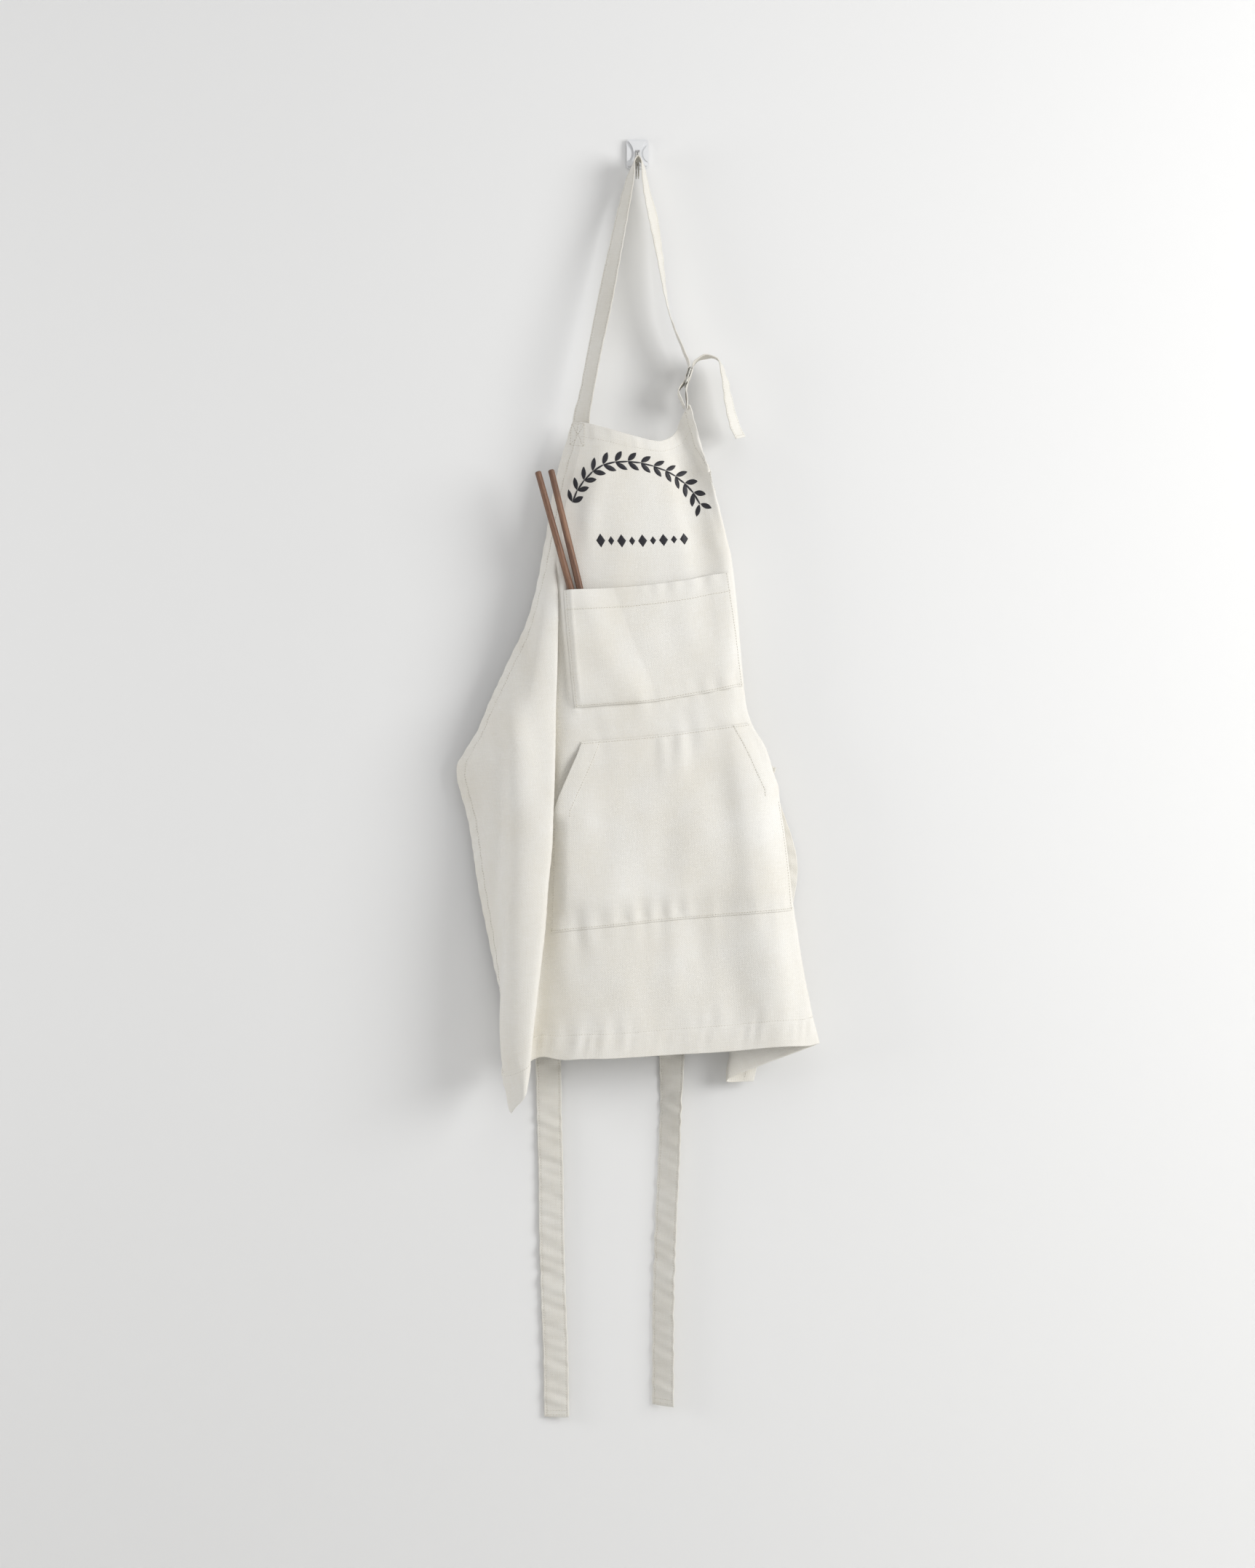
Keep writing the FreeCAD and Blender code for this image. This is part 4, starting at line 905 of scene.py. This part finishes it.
def tapeFrame(edges, rowStep):
    # even rows along a tape: its middle, half its width as an arrow, the way off its face and the length so far
    places = np.linspace(0, len(edges[0]) - 1, 40 * len(edges[0]))
    first, second = (curveThrough(edge, places) for edge in edges)
    length = runLength((first + second) / 2, 0)
    rows = max(int(length[-1] / rowStep), 8)
    regular = np.linspace(0, length[-1], rows + 1)
    at = np.interp(regular, length, places)
    first, second = (curveThrough(edge, at) for edge in edges)
    middle, half = (first + second) / 2, (second - first) / 2
    return middle, half, unit(np.cross(np.gradient(middle, axis=0), half)), regular


def tapeShape(frameOf, across, key, pucker):
    # across runs from -1 to 1: the folded tape is fuller at its edges than at its two rows of stitches,
    # and its face puckers between them
    middle, half, normal, length = frameOf
    look = tapeLook
    width = 2 * np.linalg.norm(half, axis=1)[:, None]
    fromEdge = (1 - np.abs(across)) * width / 2
    turns, phases, stretches = noiseSeeds[key]
    waves = 0
    for turn, phase, stretch in zip(turns, phases, 0.35 + stretches / 6):
        waves = waves + np.sin(2 * np.pi * length[:, None] * stretch / look["pitch"] + phase
                               + 2.2 * np.sin(turn) * across)
    calm = rise(length[:, None], 0, 0.02) * rise(length[-1] - length[:, None], 0, 0.02)
    wave = pucker * waves / 3 * calm
    wobble = (0.018 * np.sin(length / 0.043 + phases[0]) + 0.012 * np.sin(length / 0.017 + phases[1])) * calm[:, 0]
    groove = look["groove"] * bell(fromEdge, look["edge"], 0.0008)
    place = middle[:, None] + half[:, None] * (across + wobble[:, None])[..., None]
    return place + normal[:, None] * wave[..., None], groove, normal


def makeTape(name, edges, key, pucker, replaced, rowStep=tapeLook["rowStep"]):
    # its columns lie closer beside each row of stitches
    frameOf = tapeFrame(edges, rowStep)
    across = (2 * np.concatenate([[0, 0.02, 0.055, 0.08, 0.105], np.linspace(0.15, 0.85, tapeLook["columns"] - 8),
                                  [0.895, 0.92, 0.945, 0.98, 1]]) - 1)[None, :]
    surface, groove, normal = tapeShape(frameOf, across, key, pucker)
    half = tapeLook["thickness"] / 2 - groove
    front = surface + normal[:, None] * half[..., None]
    back = surface - normal[:, None] * half[..., None]
    length = frameOf[3][:, None] + 0 * across
    uv = np.stack([across * tapeLook["width"] / 2 + 0 * length, length], axis=-1)
    piece = closedSheet(name, front, back, uv, strapCanvas)
    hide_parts(*replaced)
    return piece, frameOf


def tapeStitchLines(frameOf, key, pucker):
    # a row of stitches near each edge, on both faces
    lines = []
    for face in (1, -1):
        for edge in (-1, 1):
            across = np.full((1, 1), edge * (1 - 2 * tapeLook["edge"] / tapeLook["width"]))
            surface, _, normal = tapeShape(frameOf, across, key, pucker)
            lift = face * (tapeLook["thickness"] / 2 - tapeLook["groove"])
            lines.append((surface[:, 0] + normal * lift, normal * face))
    return lines


def stitchEnds(frameOf, key, pucker, places):
    # rows of stitches across a tape at these lengths, on both faces
    length = frameOf[3]
    across = np.linspace(-0.8, 0.8, 30)[None, :]
    surface, _, normal = tapeShape(frameOf, across, key, pucker)
    rows = np.clip(np.searchsorted(length, np.array(places)), 0, len(length) - 1)
    lines = []
    for row in rows:
        for face in (1, -1):
            normals = np.repeat(normal[row:row + 1] * face, across.size, axis=0)
            lines.append((surface[row] + normals * tapeLook["thickness"] / 2, normals))
    return lines


def makeStraps():
    # the three tapes first, then their stitches; ends are the lengths at which rows run across a tape, where a
    # negative one counts back from its far end
    look = tapeLook
    neckEdges = tuple(np.concatenate([np.array([pair[edge] for pair in neckRoute]) * mm, turn])
                      for edge, turn in enumerate(besideSlide(neckTurn)))
    straps = (("neck_strap", neckEdges, look["calm"], look["neckStep"], [0.003, 0.027]),
              ("strap_tail", besideSlide(tailRoute, look["tailTwist"]), look["lively"], look["rowStep"], [-0.003]),
              ("anchor_loop", besideSlide(loopRoute), look["calm"], look["loopStep"], []))
    tapes = [makeTape(name + "_tape", edges, "strap", pucker, [name], rowStep)
             for name, edges, pucker, rowStep, ends in straps]
    threads = []
    for (name, edges, pucker, rowStep, ends), (tape, frameOf) in zip(straps, tapes):
        length = float(frameOf[3][-1])
        places = [place if place > 0 else length + place for place in ends]
        lines = tapeStitchLines(frameOf, "strap", pucker) + stitchEnds(frameOf, "strap", pucker, places)
        threads.append(stitchPiece(name + "_stitches", lines))
        print(tape.name, "is", round(length, 3), "long")
    neck, tail, loop = (tape for tape, frameOf in tapes)
    for piece in (neck, tail, loop, *threads):
        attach(piece, "apron")


def makeTies():
    pucker, reach = tapeLook["pucker"], tapeLook["tieFold"]
    for side, route in (("left", leftTieRoute), ("right", rightTieRoute)):
        tie, frameOf = makeTape(side + "_tie_tape", tieEdges(route, tapeLook[side + "Twist"]), "tie", pucker,
                                [side + "_tie_upper", side + "_tie"])
        last = frameOf[3][-1]
        lines = tapeStitchLines(frameOf, "tie", pucker) + stitchEnds(frameOf, "tie", pucker,
                                                                     [0.004, last - 0.003, last - 0.009])
        thread = stitchPiece(side + "_tie_stitches", lines)
        for piece in (tie, thread):
            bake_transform(piece)
        print(tie.name, "is", round(float(last), 3), "long")


makeStraps()
makeTies()
print("straps and ties made")

# the bib carries a leafy arch over a row of diamonds, worked in black satin stitch
embroideryLook = {
    "colour": ("#17171B", "#2C2B33"),
    "archMiddle": (0.0045, 0.111), "archRadius": (0.080, 0.080), "archFrom": 199, "archTo": 339,
    "leaves": 14, "leafLength": 0.0150, "leafWidth": 0.0029, "leafTurn": 40, "stemWidth": 0.0010,
    "rowMiddle": (0.0075, 0.1225), "rowSlope": 0.02, "rowLength": 0.108, "diamonds": 9,
    "diamondLength": 0.0120, "diamondWidth": 0.34,
    "height": 0.0006, "threadPitch": 0.0009,   # real rayon lies every 0.4 mm, drawn coarser
}


def satinMaterial(name, look):
    # rayon satin stitch: threads side by side across each motif, which gives a soft black shine
    material, tree, shader = newMaterial(name, Roughness=0.42, IOR=1.5, Specular_IOR_Level=0.4, Sheen_Weight=0.1)
    place = addNode(tree, "ShaderNodeUVMap", uv_map="cloth")
    parts = addNode(tree, "ShaderNodeSeparateXYZ", {0: place.outputs["UV"]})
    turns = addNode(tree, "ShaderNodeMath", {0: parts.outputs["Y"], 1: 2 * np.pi / look["threadPitch"]},
                    operation="MULTIPLY")
    wave = addNode(tree, "ShaderNodeMath", {0: turns.outputs[0]}, operation="SINE")
    addBump(tree, shader, wave.outputs[0], 0.5, 0.0001)
    amount = addNode(tree, "ShaderNodeMapRange", {"Value": wave.outputs[0], "From Min": -1.0, "From Max": 1.0})
    tree.links.new(addTint(tree, amount.outputs[0], *look["colour"]), shader.inputs["Base Color"])
    return material


def motifs(starts, directions, lengths, widths, sharp):
    # each motif is a closed lens: an oval section whose width follows sin(pi x) to the power sharp along its
    # length, or two straight tapers, 1 - |2x - 1|, when sharp is above 1
    alongCount, around = 11, 8
    share = np.linspace(0, 1, alongCount)
    profile = 1 - np.abs(2 * share - 1) if sharp > 1 else np.sin(np.pi * share) ** sharp
    angle = np.arange(around) * 2 * np.pi / around
    along = share * lengths[:, None]
    wide = profile * widths[:, None]
    square = np.stack([-directions[:, 1], directions[:, 0]], axis=1)
    place = (starts[:, None, None] + directions[:, None, None] * along[..., None, None]
             + square[:, None, None] * (wide[..., None] * np.cos(angle))[..., None])
    height = (embroideryLook["height"] * np.minimum(profile * 1.6, 1))[None, :, None] * (
        0.35 + 0.65 * np.sin(angle)) + 0 * place[..., 0]
    points = apronPoint(place[..., 0], place[..., 1], height)
    points[:, 0] = points[:, 0].mean(axis=1, keepdims=True)
    points[:, -1] = points[:, -1].mean(axis=1, keepdims=True)
    corner = np.arange(around)
    ahead = (corner + 1) % around
    walls = np.concatenate([np.stack([row * around + corner, row * around + ahead, (row + 1) * around + ahead,
                                      (row + 1) * around + corner], axis=1) for row in range(alongCount - 1)])
    start = alongCount * around * np.arange(len(starts))[:, None, None]
    uv = np.stack([wide[..., None] * np.cos(angle), np.broadcast_to(along[..., None], height.shape)], axis=-1)
    return points.reshape(-1, 3), (walls + start).reshape(-1, 4), uv.reshape(-1, 2)


def makeEmbroidery():
    look = embroideryLook
    black = satinMaterial("black rayon satin stitch", look)
    turn = np.radians(np.linspace(look["archFrom"], look["archTo"], look["leaves"]))
    middle, radius = np.array(look["archMiddle"]), np.array(look["archRadius"])
    place = middle + radius * np.stack([np.cos(turn), np.sin(turn)], axis=1)
    along = unit(np.stack([-np.sin(turn) * radius[0], np.cos(turn) * radius[1]], axis=1))
    starts, directions = [], []
    for lean in (-1, 1):
        angle = np.radians(look["leafTurn"]) * lean
        turned = np.stack([along[:, 0] * np.cos(angle) - along[:, 1] * np.sin(angle),
                           along[:, 0] * np.sin(angle) + along[:, 1] * np.cos(angle)], axis=1)
        starts.append(place + turned * 0.0012)
        directions.append(turned)
    starts, directions = np.concatenate(starts), np.concatenate(directions)
    count = len(starts)
    leaves = motifs(starts, directions, np.full(count, look["leafLength"]), np.full(count, look["leafWidth"]), 0.8)
    # the stem: short flat stitches from leaf to leaf
    step = np.diff(place, axis=0)
    reach = np.linalg.norm(step, axis=1)
    stem = motifs(place[:-1], step / reach[:, None], reach * 1.12, np.full(len(step), look["stemWidth"]), 0.4)
    share = (np.arange(look["diamonds"]) + 0.5) / look["diamonds"] - 0.5
    rowAlong = np.array([1.0, look["rowSlope"]])
    centres = np.array(look["rowMiddle"]) + share[:, None] * look["rowLength"] * rowAlong
    tall = np.where(np.arange(look["diamonds"]) % 2 == 0, 1.25, 0.85) * look["diamondLength"]
    upright = np.tile([0.0, 1.0], (look["diamonds"], 1))
    diamonds = motifs(centres - upright * tall[:, None] / 2, upright, tall, tall * look["diamondWidth"], 2)
    vertices, faces, uvs, first = [], [], [], 0
    for places, walls, uv in (leaves, stem, diamonds):
        vertices.append(places)
        faces.append(walls + first)
        uvs.append(uv)
        first += len(places)
    piece = makePiece("embroidery", np.concatenate(vertices), [np.concatenate(faces)], black, np.concatenate(uvs))
    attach(piece, "apron")
    return piece


embroidery = makeEmbroidery()
print("embroidery made")


def mouldedMaterial(name, colour):
    # injection-moulded ABS: a fine orange-peel skin under a soft gloss
    material, tree, shader = newMaterial(name, Base_Color=linear(colour), Roughness=0.3, IOR=1.5, Coat_Weight=0.15,
                                         Coat_Roughness=0.2)
    place = addNode(tree, "ShaderNodeTexCoord")
    skin = addNoise(tree, place.outputs["Object"], 900.0, 2.0)
    addBump(tree, shader, skin, 0.12, 0.0001)
    rough = addNode(tree, "ShaderNodeMapRange", {"Value": skin, "To Min": 0.24, "To Max": 0.38})
    tree.links.new(rough.outputs[0], shader.inputs["Roughness"])
    return material


def platedMaterial(name, colour, roughness):
    # nickel-plated steel: bright, with fine drawing lines along it and duller handling marks
    material, tree, shader = newMaterial(name, Base_Color=linear(colour), Metallic=1.0, Roughness=roughness)
    place = addNode(tree, "ShaderNodeTexCoord")
    lines = addNode(tree, "ShaderNodeMapping", {"Vector": place.outputs["Object"], "Scale": (2500.0, 400.0, 400.0)})
    scratch = addNoise(tree, lines.outputs["Vector"], 1.0, 3.0)
    marks = addNoise(tree, place.outputs["Object"], 150.0, 3.0)
    both = addNode(tree, "ShaderNodeMath", {0: scratch, 1: marks}, operation="MULTIPLY")
    rough = addNode(tree, "ShaderNodeMapRange", {"Value": both.outputs[0], "From Min": 0.15, "From Max": 0.4,
                                                 "To Min": roughness * 0.7, "To Max": roughness * 1.6})
    tree.links.new(rough.outputs[0], shader.inputs["Roughness"])
    addBump(tree, shader, scratch, 0.15, 0.00005)
    return material


def foamMaterial(name, colour):
    # closed-cell foam tape: small round cells at its cut edges
    material, tree, shader = newMaterial(name, Base_Color=linear(colour), Roughness=0.8, IOR=1.45)
    place = addNode(tree, "ShaderNodeTexCoord")
    cells = addNode(tree, "ShaderNodeTexVoronoi", {"Vector": place.outputs["Object"], "Scale": 1800.0})
    addBump(tree, shader, cells.outputs["Distance"], 0.4, 0.0002)
    return material


woodLook = {"dark": "#5F4233", "light": "#936F57", "pore": "#3A271E", "grainPitch": 0.0016, "grainLength": 0.06}


def woodMaterial(name, look, head, foot):
    # turned and oiled hardwood: long dark pores and darker growth bands that run along the stick
    material, tree, shader = newMaterial(name, Roughness=0.48, IOR=1.5, Specular_IOR_Level=0.45)
    place = addNode(tree, "ShaderNodeTexCoord")
    along = np.array(foot) - np.array(head)
    lean = float(np.arctan2(along[0], -along[2]))
    straight = addNode(tree, "ShaderNodeMapping", {"Vector": place.outputs["Object"], "Rotation": (0.0, lean, 0.0)})
    fine = 1 / look["grainPitch"] / 2
    bands = addNode(tree, "ShaderNodeMapping", {"Vector": straight.outputs["Vector"],
                                                "Scale": (fine, fine, 1 / look["grainLength"])})
    growth = addNode(tree, "ShaderNodeTexNoise", {"Vector": bands.outputs["Vector"], "Scale": 1.0, "Detail": 3.0,
                                                  "Distortion": 0.4})
    lines = addNode(tree, "ShaderNodeMapping", {"Vector": straight.outputs["Vector"],
                                                "Scale": (2600.0, 2600.0, 120.0)})
    pores = addNoise(tree, lines.outputs["Vector"], 1.0, 1.0)
    tone = addNode(tree, "ShaderNodeMapRange", {"Value": growth.outputs["Fac"], "From Min": 0.32, "From Max": 0.68})
    deep = addNode(tree, "ShaderNodeMapRange", {"Value": pores, "From Min": 0.60, "From Max": 0.72})
    base = addTint(tree, tone.outputs[0], look["dark"], look["light"])
    tree.links.new(addTint(tree, deep.outputs[0], base, look["pore"]), shader.inputs["Base Color"])
    addBump(tree, shader, deep.outputs[0], 0.3, 0.0002, invert=True)
    return material


def finishNode(name, material):
    # gives every material slot of a CAD piece this material
    slots = nodes[name].data.materials
    if len(slots) == 0:
        slots.append(material)
    for index in range(len(slots)):
        slots[index] = material


# each chopstick's two ends, for the way its grain runs
chopsticks = {
    "chopstick_left": ((-0.114, -0.066, -0.378), (-0.041, -0.066, -0.638)),
    "chopstick_right": ((-0.099, -0.066, -0.376), (-0.035, -0.066, -0.638)),
}
finishNode("hook_base", mouldedMaterial("white moulded ABS", "#E6E7E8"))
finishNode("wire_hook", platedMaterial("nickel-plated hook wire", "#C9C8C4", 0.22))
finishNode("slide_buckle", platedMaterial("nickel-plated steel slide", "#BDBBB4", 0.28))
finishNode("adhesive_strip", foamMaterial("white foam tape", "#ECECE8"))
for nodeName, (head, foot) in chopsticks.items():
    finishNode(nodeName, woodMaterial("oiled hardwood " + nodeName.split("_")[1], woodLook, head, foot))
print("finishes done")
